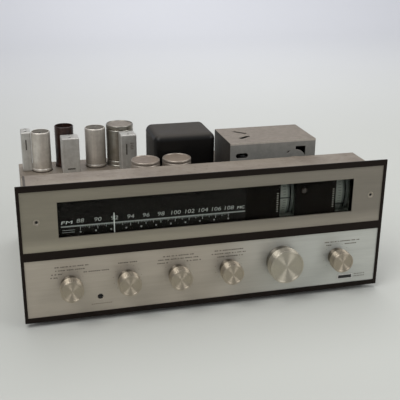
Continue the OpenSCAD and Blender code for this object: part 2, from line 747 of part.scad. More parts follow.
// Rolled-rim can: foot ring, straight wall, crimp and a lid sunk inside the rim
module rolled_can(c) {
    r = c[2];
    top = c[3] - deck_z;
    translate([c[0], c[1], deck_z]) rotate_extrude()
        polygon([[0, 0], [r + 0.5, 0], [r + 0.5, 1.2], [r, 1.8], [r, 6], [r - 0.8, 7], [r, 8], [r, top - 3],
                 [r - 0.5, top - 2.4], [r, top - 1.6], [r, top - 0.5], [r - 0.5, top], [r - 1.4, top],
                 [r - 1.8, top - 0.8], [0, top - 0.8]]);
}

module filter_can() { color("#8c877c") rolled_can(filter_can_at); }

module low_cans() { color("#9a7d66") for (c = low_can_list) rolled_can(c); }

module component_board() {
    color("#8a6a3a") slab([104, 110, 58], [236, 196, 59.6]);
    color("silver") for (x = [110, 230], y = [116, 190]) rod_z(x, y, 59.6, 2.6, deck_z - sheet - 59.6);
    color("#b08d57") for (i = [0 : 7]) rod_x(118 + 14 * i, 128 + 9 * (i % 3), 55.6, 2.4, 11);
    color("#3b5a86") for (i = [0 : 4]) rod_z(124 + 22 * i, 168, 46, 5, 12);
}

// ---- back panel ----

module antenna_strip() {
    color("#4a3020") difference() {
        slab([strip_x0, chassis_back, strip_z - 8], [strip_x0 + 58, chassis_back + 4, strip_z + 8]);
        for (x = strip_screws) rod_y(x, chassis_back - 1, strip_z, 1.6, 8);
    }
}

module phono_jacks() {
    color("#c9c2ae") for (x = jack_xs) translate([x, chassis_back, jack_z]) rotate([-90, 0, 0]) rotate_extrude()
        polygon([[1.6, -10], [4.5, -10], [4.5, 0], [7, 0], [7, 1.2], [4.15, 1.2], [4.15, jack_reach],
                 [3.5, jack_reach], [3.5, 1.2], [1.6, 1.2]]);
}

module fuse_holder() {
    color("#1c1c1c") translate([fuse_x, chassis_back, rear_z]) rotate([-90, 0, 0]) rotate_extrude()
        polygon([[0, -34], [6.2, -34], [6.2, 0], [8.5, 0], [8.5, 2], [5.2 + run_fit, 2], [5.2 + run_fit, -22],
                 [0, -22]]);
}

module fuse_cap() {
    color("#101010") translate([fuse_x, chassis_back, rear_z]) rotate([-90, 0, 0]) difference() {
        rotate_extrude()
            polygon([[0, -20], [5.2, -20], [5.2, 2.3], [7, 2.3], [7, 8], [6.4, 8.6], [0, 8.6]]);
        translate([-8, -0.6, 7.4]) cube([16, 1.2, 2]);
    }
}

module mains_outlet() {
    back = chassis_back;
    color("#17120f") difference() {
        union() {
            slab([outlet_x - 13, back, rear_z - 12], [outlet_x + 13, back + 2, rear_z + 12]);
            slab([outlet_x - 9.6, back - 14, rear_z - 8.6], [outlet_x + 9.6, back, rear_z + 8.6]);
        }
        for (s = [-1, 1]) slab([outlet_x + s * 6.35 - 0.9, back - 12, rear_z - 3.4],
                               [outlet_x + s * 6.35 + 0.9, back + 3, rear_z + 3.4]);
    }
}

module cord_gland() {
    color("#121212") translate([gland_x, chassis_back, rear_z]) rotate([-90, 0, 0]) rotate_extrude()
        polygon([[3.6, -8], [5.4, -8], [5.4, 0], [8, 0], [7.2, 3.4], [3.6, 3.4]]);
}

place() panel_frame();
place() dial_fascia();
place() control_fascia();
place() name_plate();
place() dial_glass();
place() dial_scale();
place() meter_mask();
place() stereo_lamp();
place() pointer();
place() pointer_rail();
place() cord_pulleys();
place() dial_cords();
place() tuning_knob();
place() tuning_shaft();
place() flywheel();
place() shaft_bearings();
place() cord_drum();
place() gang_rotor();
place() gang_frame();
place() rf_cover();
place() selector_knob();
place() selector_shaft();
place() level_knob();
place() level_shaft();
place() mode_knob();
place() mode_shaft();
place() muting_knob();
place() muting_shaft();
place() balance_knob();
place() balance_shaft();
place() rotary_switches();
place() potentiometers();
place() panel_nuts();
place() preset_spindle();
place() meter_cases();
place() tuning_needle();
place() signal_needle();
place() dial_lamps();
place() chassis_deck();
place() chassis_walls();
place() dial_housing();
place() bottom_cover();
place() feet();
place() machine_screws();
place() transformer_cover();
place() transformer_core();
place() valve_shields();
place() black_valve_shield();
place() valves();
place() valve_sockets();
place() if_cans();
place() filter_can();
place() low_cans();
place() antenna_strip();
place() phono_jacks();
place() fuse_holder();
place() fuse_cap();
place() mains_outlet();
place() cord_gland();
place() component_board();
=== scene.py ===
import math

import bmesh
import bpy
import numpy as np
from mathutils import Matrix, Vector


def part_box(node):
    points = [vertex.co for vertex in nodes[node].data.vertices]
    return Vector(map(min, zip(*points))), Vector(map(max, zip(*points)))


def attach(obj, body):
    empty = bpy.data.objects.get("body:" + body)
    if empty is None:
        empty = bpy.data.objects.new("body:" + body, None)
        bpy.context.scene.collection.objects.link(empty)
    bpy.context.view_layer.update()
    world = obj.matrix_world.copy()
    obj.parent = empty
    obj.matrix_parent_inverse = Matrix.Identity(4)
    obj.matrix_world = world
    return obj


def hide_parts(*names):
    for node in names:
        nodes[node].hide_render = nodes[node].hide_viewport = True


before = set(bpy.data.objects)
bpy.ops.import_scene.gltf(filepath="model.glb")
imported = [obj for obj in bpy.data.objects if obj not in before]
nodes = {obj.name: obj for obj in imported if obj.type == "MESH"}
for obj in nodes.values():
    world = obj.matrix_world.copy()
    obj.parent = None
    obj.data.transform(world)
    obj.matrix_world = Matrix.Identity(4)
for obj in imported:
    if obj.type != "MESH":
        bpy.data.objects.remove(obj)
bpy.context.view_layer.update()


# ---- The table, the light and the camera ----
# A pale matt sweep of card under and behind the set. Wide soft boxes light it from the left, the
# right and above, and one lights the card behind. The camera stands a little to the left.

def colour(code):
    """sRGB hex code to the linear colour that shaders take, alpha 1."""
    parts = [int(code[k:k + 2], 16) / 255 for k in (0, 2, 4)]
    return [c / 12.92 if c <= 0.04045 else ((c + 0.055) / 1.055) ** 2.4 for c in parts] + [1.0]


def add(tree, kind, sockets=None, **settings):
    """Adds one shader node, sets its settings, then fills or links its sockets. A node given as a
    socket's value stands for its first active output."""
    made = tree.nodes.new("ShaderNode" + kind)
    for key, value in settings.items():
        setattr(made, key, value)
    for key, value in (sockets or {}).items():
        if isinstance(value, bpy.types.Node):
            value = next(output for output in value.outputs if output.enabled)
        if isinstance(value, bpy.types.NodeSocket):
            tree.links.new(value, made.inputs[key])
        else:
            made.inputs[key].default_value = value
    return made


def new_finish(name):
    """An empty material, its node tree, and the object coordinates that its patterns are laid on."""
    made = bpy.data.materials.new(name)
    made.use_nodes = True
    made.node_tree.nodes.clear()
    return made, made.node_tree, add(made.node_tree, "TexCoord").outputs["Object"]


def grain(millimetres):
    """Noise scale that gives features of about this size."""
    return 1000 / millimetres


def card_finish():
    """Background card, matt: pale warm grey on the table, painted bluish white towards the back as
    painted light, and painted greyer to the left as painted shade, with a faint unevenness."""
    made, tree, place = new_finish("background_card")
    cloud = add(tree, "TexNoise", {"Vector": place, "Scale": grain(400), "Detail": 2})
    apart = add(tree, "SeparateXYZ", {"Vector": place})
    # painted light: the card turns bluish white towards the back
    back = add(tree, "MapRange", {0: apart.outputs[1], 1: 0.1, 2: 2.2}, interpolation_type="SMOOTHSTEP")
    near = add(tree, "Mix", {0: cloud, 6: colour("bdbeb8"), 7: colour("c3c4be")}, data_type="RGBA")
    tone = add(tree, "Mix", {0: back, 6: near, 7: colour("e6e7ec")}, data_type="RGBA")
    # painted shade: the card is greyer to the left
    side = add(tree, "MapRange", {0: apart.outputs[0], 1: -1.1, 2: 0.5, 3: 0.72, 4: 1},
               interpolation_type="SMOOTHSTEP")
    shade = add(tree, "VectorMath", {0: tone, "Scale": side}, operation="SCALE")
    skin = add(tree, "BsdfPrincipled", {"Base Color": shade, "Roughness": 0.75})
    add(tree, "OutputMaterial", {"Surface": skin})
    return made


sweep_width, sweep_front, sweep_back, sweep_bend = 8.0, -3.0, 1.6, 0.9
turn = np.linspace(0, math.pi / 2, 24)
sweep_y = np.concatenate([[sweep_front], sweep_back + sweep_bend * np.sin(turn), [sweep_back + sweep_bend]])
sweep_z = np.concatenate([[0], sweep_bend * (1 - np.cos(turn)), [5.0]])
x, y = np.meshgrid([-sweep_width / 2, sweep_width / 2], sweep_y)
sweep = np.stack([x, y, np.repeat(sweep_z[:, None], 2, 1)], -1)
sweep_mesh = bpy.data.meshes.new("table")
corner = np.arange(sweep_y.size - 1) * 2
sweep_mesh.from_pydata(sweep.reshape(-1, 3), [], np.stack([corner, corner + 1, corner + 3, corner + 2], -1))
sweep_mesh.polygons.foreach_set("use_smooth", [True] * len(sweep_mesh.polygons))
table = bpy.data.objects.new("table", sweep_mesh)
table.data.materials.append(card_finish())
bpy.context.scene.collection.objects.link(table)

set_middle = (0, 0, 0.06)
for name, spot_at, aim, size, power in (("key_box", (-0.9, -0.7, 1.5), set_middle, 1.1, 17),
                                        ("fill_box", (1.3, -1.0, 1.0), set_middle, 1.0, 9),
                                        ("top_box", (0.1, 0.5, 1.7), set_middle, 1.3, 12),
                                        ("backdrop_box", (0.5, 0.9, 1.5), (0.5, 2.5, 0.2), 1.0, 8)):
    light = bpy.data.lights.new(name, "AREA")
    light.size, light.energy = size, power
    lamp = bpy.data.objects.new(name, light)
    lamp.location = spot_at
    lamp.rotation_euler = (Vector(aim) - Vector(spot_at)).to_track_quat("-Z", "Y").to_euler()
    bpy.context.scene.collection.objects.link(lamp)

world = bpy.data.worlds.new("studio")
world.use_nodes = True
world.node_tree.nodes["Background"].inputs[0].default_value = colour("e2e4e8")
world.node_tree.nodes["Background"].inputs[1].default_value = 0.55
bpy.context.scene.world = world
bpy.context.scene.view_settings.view_transform = "Standard"

view_right, view_down, view_roll = 14.88, 20.51, 0.54       # degrees
looking = Vector((math.sin(math.radians(view_right)) * math.cos(math.radians(view_down)),
                  math.cos(math.radians(view_right)) * math.cos(math.radians(view_down)),
                  -math.sin(math.radians(view_down))))
camera = bpy.data.objects.new("camera", bpy.data.cameras.new("camera"))
camera.data.lens = 68.16
camera.data.sensor_width = 36
camera.rotation_mode = "QUATERNION"
camera.rotation_quaternion = looking.to_track_quat("-Z", "Y") @ Matrix.Rotation(
    math.radians(view_roll), 3, "Z").to_quaternion()
camera.location = (-0.1907, -0.7850, 0.3795)
bpy.context.scene.collection.objects.link(camera)
bpy.context.scene.camera = camera


# ---- Front panel frame ----
# One aluminium casting with a top, a middle and a bottom rail and two thin sides, stove-enamelled
# dark brown. It is chipped a little along its edges.

MM = 0.001
panel_corner = np.array(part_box("panel_frame")[0])


def hang(name, mesh, finish, body, stands_for, sharp):
    """Makes a mesh an object with its finish, smooth up to the angle sharp, and hangs it on its body."""
    mesh.polygons.foreach_set("use_smooth", [True] * len(mesh.polygons))
    mesh.set_sharp_from_angle(angle=math.radians(sharp))
    made = bpy.data.objects.new(name, mesh)
    made.data.materials.clear()
    made.data.materials.append(finish)
    bpy.context.scene.collection.objects.link(made)
    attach(made, body)
    if stands_for:
        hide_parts(*stands_for)
    return made


def place_piece(name, mesh, finish, body, stands_for, sharp):
    """Merges a mesh's doubles and turns its faces outwards, then hangs it on its body."""
    work = bmesh.new()
    work.from_mesh(mesh)
    bmesh.ops.remove_doubles(work, verts=work.verts, dist=0.002 * MM)
    bmesh.ops.dissolve_degenerate(work, edges=work.edges, dist=0.0005 * MM)
    bmesh.ops.recalc_face_normals(work, faces=work.faces)
    work.to_mesh(mesh)
    work.free()
    return hang(name, mesh, finish, body, stands_for, sharp)


def piece(name, patches, finish, body="chassis", stands_for=(), sharp=35, upright=False):
    """One object from grids of points, in millimetres from the panel's lower left front corner.
    Neighbouring points of a grid are joined by quads, and grids that meet are merged. The UV map
    named flow runs along a grid's rows, or up and across the piece where upright is true."""
    points, quads, flow, start = [], [], [], 0
    for patch in patches:
        rows, columns = patch.shape[:2]
        index = start + np.arange(rows * columns).reshape(rows, columns)
        loop = [index[:-1, :-1], index[1:, :-1], index[1:, 1:], index[:-1, 1:]]
        quads.append(np.stack(loop, -1).reshape(-1, 4))
        points.append(patch.reshape(-1, 3))
        down, over = np.meshgrid(np.arange(rows), np.arange(columns), indexing="ij")
        run = [patch[..., 2], patch[..., 0]] if upright else [down, over]
        flow.append(np.stack(run, -1).reshape(-1, 2))
        start += rows * columns
    mesh = bpy.data.meshes.new(name)
    quads, flow = np.concatenate(quads), np.concatenate(flow) * 0.01
    mesh.from_pydata(np.concatenate(points) * MM + panel_corner, [], quads)
    mesh.uv_layers.new(name="flow").data.foreach_set("uv", flow[quads.ravel()].ravel())
    return place_piece(name, mesh, finish, body, stands_for, sharp)


def softened(node, finish, width, body="chassis"):
    """A copy of a CAD node with its triangles merged into whole faces and its edges eased."""
    mesh = nodes[node].data.copy()
    work = bmesh.new()
    work.from_mesh(mesh)
    bmesh.ops.remove_doubles(work, verts=work.verts, dist=0.005 * MM)
    bmesh.ops.dissolve_limit(work, angle_limit=math.radians(0.6), verts=work.verts, edges=work.edges)
    work.to_mesh(mesh)
    work.free()
    made = hang(node + "_looks", mesh, finish, body, [node], 30)
    ease = made.modifiers.new("eased_edges", "BEVEL")
    ease.width, ease.segments, ease.limit_method = width * MM, 2, "ANGLE"
    ease.angle_limit = math.radians(40)
    ease.use_clamp_overlap = False
    ease.harden_normals = True


def enamel_finish():
    """Stove enamel, dark brown, satin: a soft sheen, fine orange peel and a few pale chips."""
    made, tree, place = new_finish("stove_enamel_brown")
    peel = add(tree, "TexNoise", {"Vector": place, "Scale": grain(1.2), "Detail": 3})
    chips = add(tree, "TexNoise", {"Vector": place, "Scale": grain(7), "Detail": 6, "Roughness": 0.75})
    bare = add(tree, "MapRange", {0: chips, 1: 0.71, 2: 0.74})
    tone = add(tree, "Mix", {0: peel, 6: colour("120c08"), 7: colour("1c140f")}, data_type="RGBA")
    worn = add(tree, "Mix", {0: bare, 6: tone, 7: colour("6d6459")}, data_type="RGBA")
    relief = add(tree, "Bump", {"Height": peel, "Strength": 0.12, "Distance": 0.0002})
    skin = add(tree, "BsdfPrincipled", {"Base Color": worn, "Roughness": 0.5,
                                        "Specular IOR Level": 0.12, "Normal": relief})
    add(tree, "OutputMaterial", {"Surface": skin})
    return made


softened("panel_frame", enamel_finish(), 0.35)


# ---- The two face plates ----
# Rolled aluminium, brushed along its length and anodised: the upper plate is a darker warm grey,
# the lower one paler, with a painted bluish reflection that makes it cooler to the right. They drop
# into the frame's recesses.

def brushed_plate(name, left, right, roughness, change=(-0.12, 0.16), foot=None):
    """Anodised aluminium brushed left to right: hairlines 0.3 mm wide drawn as 1 mm so that they
    show, long in x; broader rubbed bands 9 mm high; a slow change of tone from left to right, which on
    the lower plate is a painted reflection. Below the height foot, where given, it catches more light."""
    made, tree, place = new_finish(name)
    drawn = add(tree, "Mapping", {"Vector": place, "Scale": (0.02, 1, 1)})
    hair = add(tree, "TexNoise", {"Vector": drawn, "Scale": grain(1.0), "Detail": 6, "Roughness": 0.65})
    rubbed = add(tree, "Mapping", {"Vector": place, "Scale": (0.12, 1, 1)})
    smudge = add(tree, "TexNoise", {"Vector": rubbed, "Scale": grain(9), "Detail": 4, "Roughness": 0.6})
    apart = add(tree, "SeparateXYZ", {"Vector": place})
    along = add(tree, "MapRange", {0: apart.outputs[0], 1: change[0], 2: change[1]},
                interpolation_type="SMOOTHSTEP")
    tone = add(tree, "Mix", {0: along, 6: colour(left), 7: colour(right)}, data_type="RGBA")
    streak = add(tree, "MapRange", {0: hair, 1: 0.3, 2: 0.7, 3: 0.95, 4: 1.05})
    cloudy = add(tree, "MapRange", {0: smudge, 1: 0.35, 2: 0.7, 3: 1.04, 4: 0.94})
    both = add(tree, "Math", {0: streak, 1: cloudy}, operation="MULTIPLY")
    if foot:
        lit = add(tree, "MapRange", {0: apart.outputs[2], 1: foot - 0.009, 2: foot, 3: 1.35, 4: 1})
        both = add(tree, "Math", {0: both, 1: lit}, operation="MULTIPLY")
    shade = add(tree, "VectorMath", {0: tone, "Scale": both}, operation="SCALE")
    rough = add(tree, "MapRange", {0: hair, 1: 0.3, 2: 0.7, 3: roughness - 0.05, 4: roughness + 0.06})
    relief = add(tree, "Bump", {"Height": hair, "Strength": 0.25, "Distance": 0.0001})
    upward = add(tree, "Tangent", direction_type="UV_MAP", uv_map="flow")
    skin = add(tree, "BsdfPrincipled", {"Base Color": shade, "Metallic": 0.55, "Anisotropic": 0.6,
                                        "Tangent": upward, "Roughness": rough,
                                        "Normal": relief})
    add(tree, "OutputMaterial", {"Surface": skin})
    return made


def span(node):
    """Lowest and highest corner of a CAD node, in millimetres from the panel's corner."""
    low, high = (np.array(corner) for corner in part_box(node))
    return (low - panel_corner) / MM, (high - panel_corner) / MM


def pierced_column(left, right, heights, hole, front, back):
    """Front, bore and back of an upright stretch of plate round one hole, as one grid: each point
    lies on a straight line from the stretch's edge to the hole's edge."""
    x, z, front_r, back_r = hole
    wide = np.linspace(left, right, 9)
    edge = np.concatenate([np.stack([wide, np.full(9, heights[0])], -1)[:-1],
                           np.stack([np.full(heights.size, right), heights], -1)[:-1],
                           np.stack([wide[::-1], np.full(9, heights[-1])], -1)[:-1],
                           np.stack([np.full(heights.size, left), heights[::-1]], -1)])
    away = edge - (x, z)
    away /= np.linalg.norm(away, axis=1)[:, None]
    share = np.linspace(0, 1, 5)[:, None, None]
    fore, aft = (edge + ((x, z) + away * r - edge) * share for r in (front_r, back_r))
    flat = np.concatenate([fore, aft[::-1]])
    depth = np.repeat([front, back], 5)[:, None] + 0 * flat[..., 0]
    return np.stack([flat[..., 0], depth, flat[..., 1]], -1)


def walls(outline, front, back):
    """The narrow side of a plate along a line of (x, z) points: the line at two depths."""
    x, z = np.asarray(outline, float).T
    return np.stack([np.stack([x, np.full(x.size, y), z], -1) for y in (front, back)])


def plate_rim(edges, heights, front, back):
    """Walls all round a plate that is made of columns with these edges and heights."""
    wide = np.concatenate([np.linspace(a, b, 9) for a, b in zip(edges, edges[1:])])
    return [walls([(x, z) for x in wide], front, back) for z in (heights[0], heights[-1])] + [
        walls([(x, z) for z in heights], front, back) for x in (edges[0], edges[-1])]


window_left, window_right, window_low, window_high = 37.1, 339.2, 87.3, 123.5
plate_screws, sink_front, sink_back = ((17.3, 105), (359.8, 104)), 3.6, 1.9     # (x, z) and sink radii
(plate_left, plate_front, plate_low), (plate_right, plate_back, plate_high) = span("dial_fascia")
heights = np.concatenate([np.linspace(plate_low, window_low, 4)[:-1],
                          np.linspace(window_low, window_high, 7)[:-1],
                          np.linspace(window_high, plate_high, 4)])
ends = zip((plate_left, window_right), (window_left, plate_right), plate_screws)
upper = [pierced_column(left, right, heights, (*screw, sink_front, sink_back), plate_front, plate_back)
         for left, right, screw in ends]
across_window = np.linspace(window_left, window_right, 9)
for low, high in ((plate_low, window_low), (window_high, plate_high)):
    x, z = np.meshgrid(across_window, np.linspace(low, high, 4))
    upper += [np.stack([x, np.full(x.shape, y), z], -1) for y in (plate_front, plate_back)]
upper += plate_rim([plate_left, window_left, window_right, plate_right], heights, plate_front, plate_back)
upper += [walls([(x, z) for x in across_window], plate_front, plate_back)
          for z in (window_low, window_high)]
upper += [walls([(x, z) for z in np.linspace(window_low, window_high, 7)], plate_front, plate_back)
          for x in (window_left, window_right)]
upper_metal = brushed_plate("brushed_upper_plate", "857f70", "7e786d", 0.48, foot=panel_corner[2] + 88 * MM)
piece("upper_face_plate", upper, upper_metal, stands_for=["dial_fascia"], upright=True)

(plate_left, plate_front, plate_low), (plate_right, plate_back, plate_high) = span("control_fascia")
small_knob_x = {"selector": 45.8, "level": 101.9, "mode": 153.1, "muting": 206.3, "balance": 325.7}
knob_height, tuning_x, tuning_height = 38, 263.4, 40
bush_hole, preset_hole = 4.9, (74.4, 21, 2.9)
holes = sorted([(x, knob_height, bush_hole) for x in small_knob_x.values()]
               + [preset_hole, (tuning_x, tuning_height, bush_hole)])
edges = [plate_left] + [(a[0] + b[0]) / 2 for a, b in zip(holes, holes[1:])] + [plate_right]
heights = np.linspace(plate_low, plate_high, 9)
lower = [pierced_column(left, right, heights, (x, z, r, r), plate_front, plate_back)
         for left, right, (x, z, r) in zip(edges, edges[1:], holes)]
lower += plate_rim(edges, heights, plate_front, plate_back)
# the lower plate's cooler, bluish right side is a painted reflection
lower_metal = brushed_plate("brushed_lower_plate", "aea597", "bcbdb6", 0.44, change=(-0.02, 0.12))
piece("lower_face_plate", lower, lower_metal, stands_for=["control_fascia"], upright=True)


# ---- Legends on the lower plate ----
# Silk-screened in dark grey. The words are left out: over each control stand rows of short dashes
# where the maker's words were, and a fine arc of index dots for its positions.

def flat_bars(bars, y_front, thickness=0.05):
    """Thin printed bars: each is (centre x, centre z, width, height) and becomes one small box."""
    bars = np.asarray(bars, float)
    half = np.array([[-1, -1], [1, -1], [1, 1], [-1, 1]]) / 2
    corners = bars[:, None, :2] + half[None] * bars[:, None, 2:]
    front = np.stack([corners[..., 0], np.full(corners.shape[:2], y_front), corners[..., 1]], -1)
    back = front + np.array([0, thickness, 0])
    loop = [0, 1, 2, 3, 0]
    sides = np.stack([front[:, loop], back[:, loop]], 1)
    faces = [front[:, [0, 3, 1, 2]].reshape(-1, 2, 2, 3), back[:, [0, 1, 3, 2]].reshape(-1, 2, 2, 3)]
    return [side for side in sides] + [face for pair in faces for face in pair]


def ink_finish(name, code, roughness=0.55):
    """Screen-printing ink: a thin matt film that is a little uneven where the screen printed lightly."""
    made, tree, place = new_finish(name)
    worn = add(tree, "TexNoise", {"Vector": place, "Scale": grain(3), "Detail": 4})
    level = add(tree, "MapRange", {0: worn, 1: 0.3, 2: 0.75, 3: 1.0, 4: 0.75})
    shade = add(tree, "VectorMath", {0: colour(code)[:3], "Scale": level}, operation="SCALE")
    skin = add(tree, "BsdfPrincipled", {"Base Color": shade, "Roughness": roughness})
    add(tree, "OutputMaterial", {"Surface": skin})
    return made


# rows of dashes over each control: height over the knob's axis, then both ends beside it
legend_rows = {
    "selector": ((18.8, -14.5, 18.5), (15.2, -14, 13), (11.4, -18, -9), (11.4, 13, 37), (8, -19, -12)),
    "level": ((17, -9, 9),),
    "mode": ((19, -15, 15), (15.5, -20, 20), (12, -21, -9), (12, 9, 24)),
    "muting": ((19.5, -15, 15), (16, -18, 18), (12.5, -12, 14)),
    "balance": ((16.5, -14, 24), (13, -12, -7), (13, 9, 21))}
draw = np.random.default_rng(7)
dash_height, dot_ring, dot = 1.15, 14.2, 0.55
dashes = []
for name, rows in legend_rows.items():
    for rise, start, end in rows:
        x = small_knob_x[name] + start
        while x < small_knob_x[name] + end:
            width = draw.uniform(0.9, 2.1)
            dashes.append((x + width / 2, knob_height + rise, width, dash_height))
            x += width + draw.choice([0.45, 0.45, 0.45, 1.6])
# under the preset's hole one row, and beside the name plate two
dashes += [(x, 13.2, 1.2, 0.7) for x in np.arange(66, 86, 1.9)]
dashes += [(x, z, 1.1, 1.0) for x in np.arange(349, 361, 1.8) for z in (14.2, 11.6)]
for name, x in small_knob_x.items():
    reach, count = (135, 11) if name in ("level", "muting", "balance") else (60, 5)
    for a in np.radians(np.linspace(-reach, reach, count)):
        dashes.append((x + dot_ring * math.sin(a), knob_height + dot_ring * math.cos(a), dot, dot))
piece("panel_legends", flat_bars(dashes, plate_front - 0.03), ink_finish("legend_ink", "625b50"))


# ---- Fascia screws and the blank name plate ----
# Two countersunk steel screws, toned like the plate, hold it; pan-head screws hold the bottom and
# the aerial strip. The name plate is a blank strip of black enamel inside a thin white border.

def steel_finish(name, code, roughness):
    """Turned or zinc-plated steel: bright, with fine tool marks and a little tarnish."""
    made, tree, place = new_finish(name)
    marks = add(tree, "TexNoise", {"Vector": place, "Scale": grain(0.8), "Detail": 5, "Roughness": 0.7})
    tarnish = add(tree, "TexNoise", {"Vector": place, "Scale": grain(9), "Detail": 4})
    level = add(tree, "MapRange", {0: tarnish, 1: 0.35, 2: 0.7, 3: 1.05, 4: 0.8})
    shade = add(tree, "VectorMath", {0: colour(code)[:3], "Scale": level}, operation="SCALE")
    rough = add(tree, "MapRange", {0: marks, 3: roughness - 0.08, 4: roughness + 0.1})
    relief = add(tree, "Bump", {"Height": marks, "Strength": 0.1, "Distance": 0.0001})
    skin = add(tree, "BsdfPrincipled", {"Base Color": shade, "Metallic": 1.0,
                                        "Roughness": rough, "Normal": relief})
    add(tree, "OutputMaterial", {"Surface": skin})
    return made


def eased(corners, ease=0.3, steps=4):
    """A polyline whose corners are rounded: near each corner it follows the curve that blends the
    two legs, starting one easing length away. A corner may carry its own easing as a third value."""
    corners = [tuple(c) for c in corners]
    line = [np.array(corners[0][:2], float)]
    for before, here, after in zip(corners, corners[1:], corners[2:]):
        p, q, r = (np.array(c[:2], float) for c in (before, here, after))
        reach = here[2] if len(here) > 2 else ease
        into, out = q - p, r - q
        reach = min(reach, np.linalg.norm(into) * 0.49, np.linalg.norm(out) * 0.49)
        a, b = q - into / np.linalg.norm(into) * reach, q + out / np.linalg.norm(out) * reach
        if reach < 1e-4:
            line.append(q)
            continue
        t = np.linspace(0, 1, steps + 1)[:, None]
        line.extend((1 - t) ** 2 * a + 2 * t * (1 - t) * q + t ** 2 * b)
    line.append(np.array(corners[-1][:2], float))
    return np.array(line)


def turned(profile, centre, axis="z", steps=64, flip=1):
    """Grid of a turned shape: the profile (distance from the axis, distance along it) carried
    round a full circle about an axis through centre. flip -1 sends the profile the other way."""
    angle = np.linspace(0, 2 * math.pi, steps + 1)[None, :]
    out, along = profile[:, :1], profile[:, 1:2] * flip
    first, second, third = out * np.cos(angle), out * np.sin(angle), along + 0 * angle
    order = {"z": (first, second, third), "y": (first, third, second), "x": (third, first, second)}[axis]
    return np.stack(order, -1) + np.asarray(centre, float)


def block(low, high, radius=0.3, steps=3, inner=0):
    """Six grids of a box with rounded edges: every point of a box's faces is moved to the given
    distance from the nearest point of the box shrunk by that distance."""
    low, high = np.minimum(low, high).astype(float), np.maximum(low, high).astype(float)
    middle, half = (low + high) / 2, (high - low) / 2
    radius = min(radius, half.min() * 0.98)
    bend = radius * np.tan(np.linspace(0, math.pi / 4, steps + 1))
    lines = []
    for h in half:
        flat = np.linspace(-(h - radius), h - radius, inner + 2)[1:-1]
        lines.append(np.concatenate([-(h - radius) - bend[::-1], flat, h - radius + bend]))
    grids = []
    for axis in range(3):
        u, v = [k for k in range(3) if k != axis]
        for side in (-1, 1):
            grid = np.zeros((lines[u].size, lines[v].size, 3))
            grid[..., u], grid[..., v] = lines[u][:, None], lines[v][None, :]
            grid[..., axis] = side * half[axis]
            core = np.clip(grid, -(half - radius), half - radius)
            away = grid - core
            grid = core + radius * away / np.linalg.norm(away, axis=-1, keepdims=True)
            grids.append(grid + middle)
    return grids


bright_steel = steel_finish("zinc_plated_steel", "b5b2aa", 0.3)
head = eased([(0, 0.75), (1.5, 0.75, 0.2), (1.75, 0.12, 0.3), (3.15, 0.0, 0.3), (3.5, 0.25), (1.8, 1.7),
              (0, 1.7)], 0.2)
shank = np.array([[0, 1.7], [1.7, 1.7], [1.7, 9], [0, 9.4]])
screw_grids = []
for x, z in plate_screws:
    screw_grids.append(turned(head, (x, plate_front, z), "y", 40))
    screw_grids.append(turned(shank, (x, plate_front, z), "y", 24))
piece("fascia_screw_pair", screw_grids, steel_finish("toned_screw_steel", "a39b8e", 0.42),
      stands_for=["machine_screws"])
# the dark disc sunk in each screw head's recess is painted shade
slots = [turned(eased([(0, 0.55), (1.3, 0.6), (1.3, 0.9), (0, 0.9)], 0.1), (x, plate_front, z), "y", 24)
         for x, z in plate_screws]
piece("fascia_screw_recesses", slots, ink_finish("screw_recess_shade", "16120e", 0.8))


def pan_screw(x, y, z, axis, flip, reach):
    """A pan-head screw 6 mm across, its head's face at the point given and its shank behind it."""
    screw = eased([(0, 0.7), (0.7, 0.7), (0.9, 0.05), (2.6, 0.25, 0.4), (3, 1.5, 0.3), (1.5, 1.5),
                   (1.5, reach), (0, reach)], 0.2)
    return turned(screw, (x, y, z), axis, 32, flip)


cover_under, strip_face, strip_height = 1.3, 241.5, 46
chassis_screws = [pan_screw(x, y, cover_under, "z", 1, 7.5) for x in (13, 362) for y in (60, 180)]
chassis_screws += [pan_screw(x, strip_face, strip_height, "y", -1, 4.5) for x in (34, 48, 62, 76)]
piece("chassis_screws", chassis_screws, bright_steel)

piece("name_plate_border", block((329, 0.6, 10), (346, plate_front, 15.2), 0.2),
      ink_finish("name_plate_white", "d5d3cc", 0.4), stands_for=["name_plate"])
piece("name_plate_field", block((329.8, 0.5, 10.8), (345.2, 0.9, 14.4), 0.15),
      ink_finish("name_plate_enamel", "0c0b0b", 0.25))


# ---- Knobs ----
# Solid aluminium turned on a lathe and anodised champagne: a slim back body and a groove, both with
# painted shade, the grip, and a face spun with fine rings that throws a bright wedge of light from its
# middle.

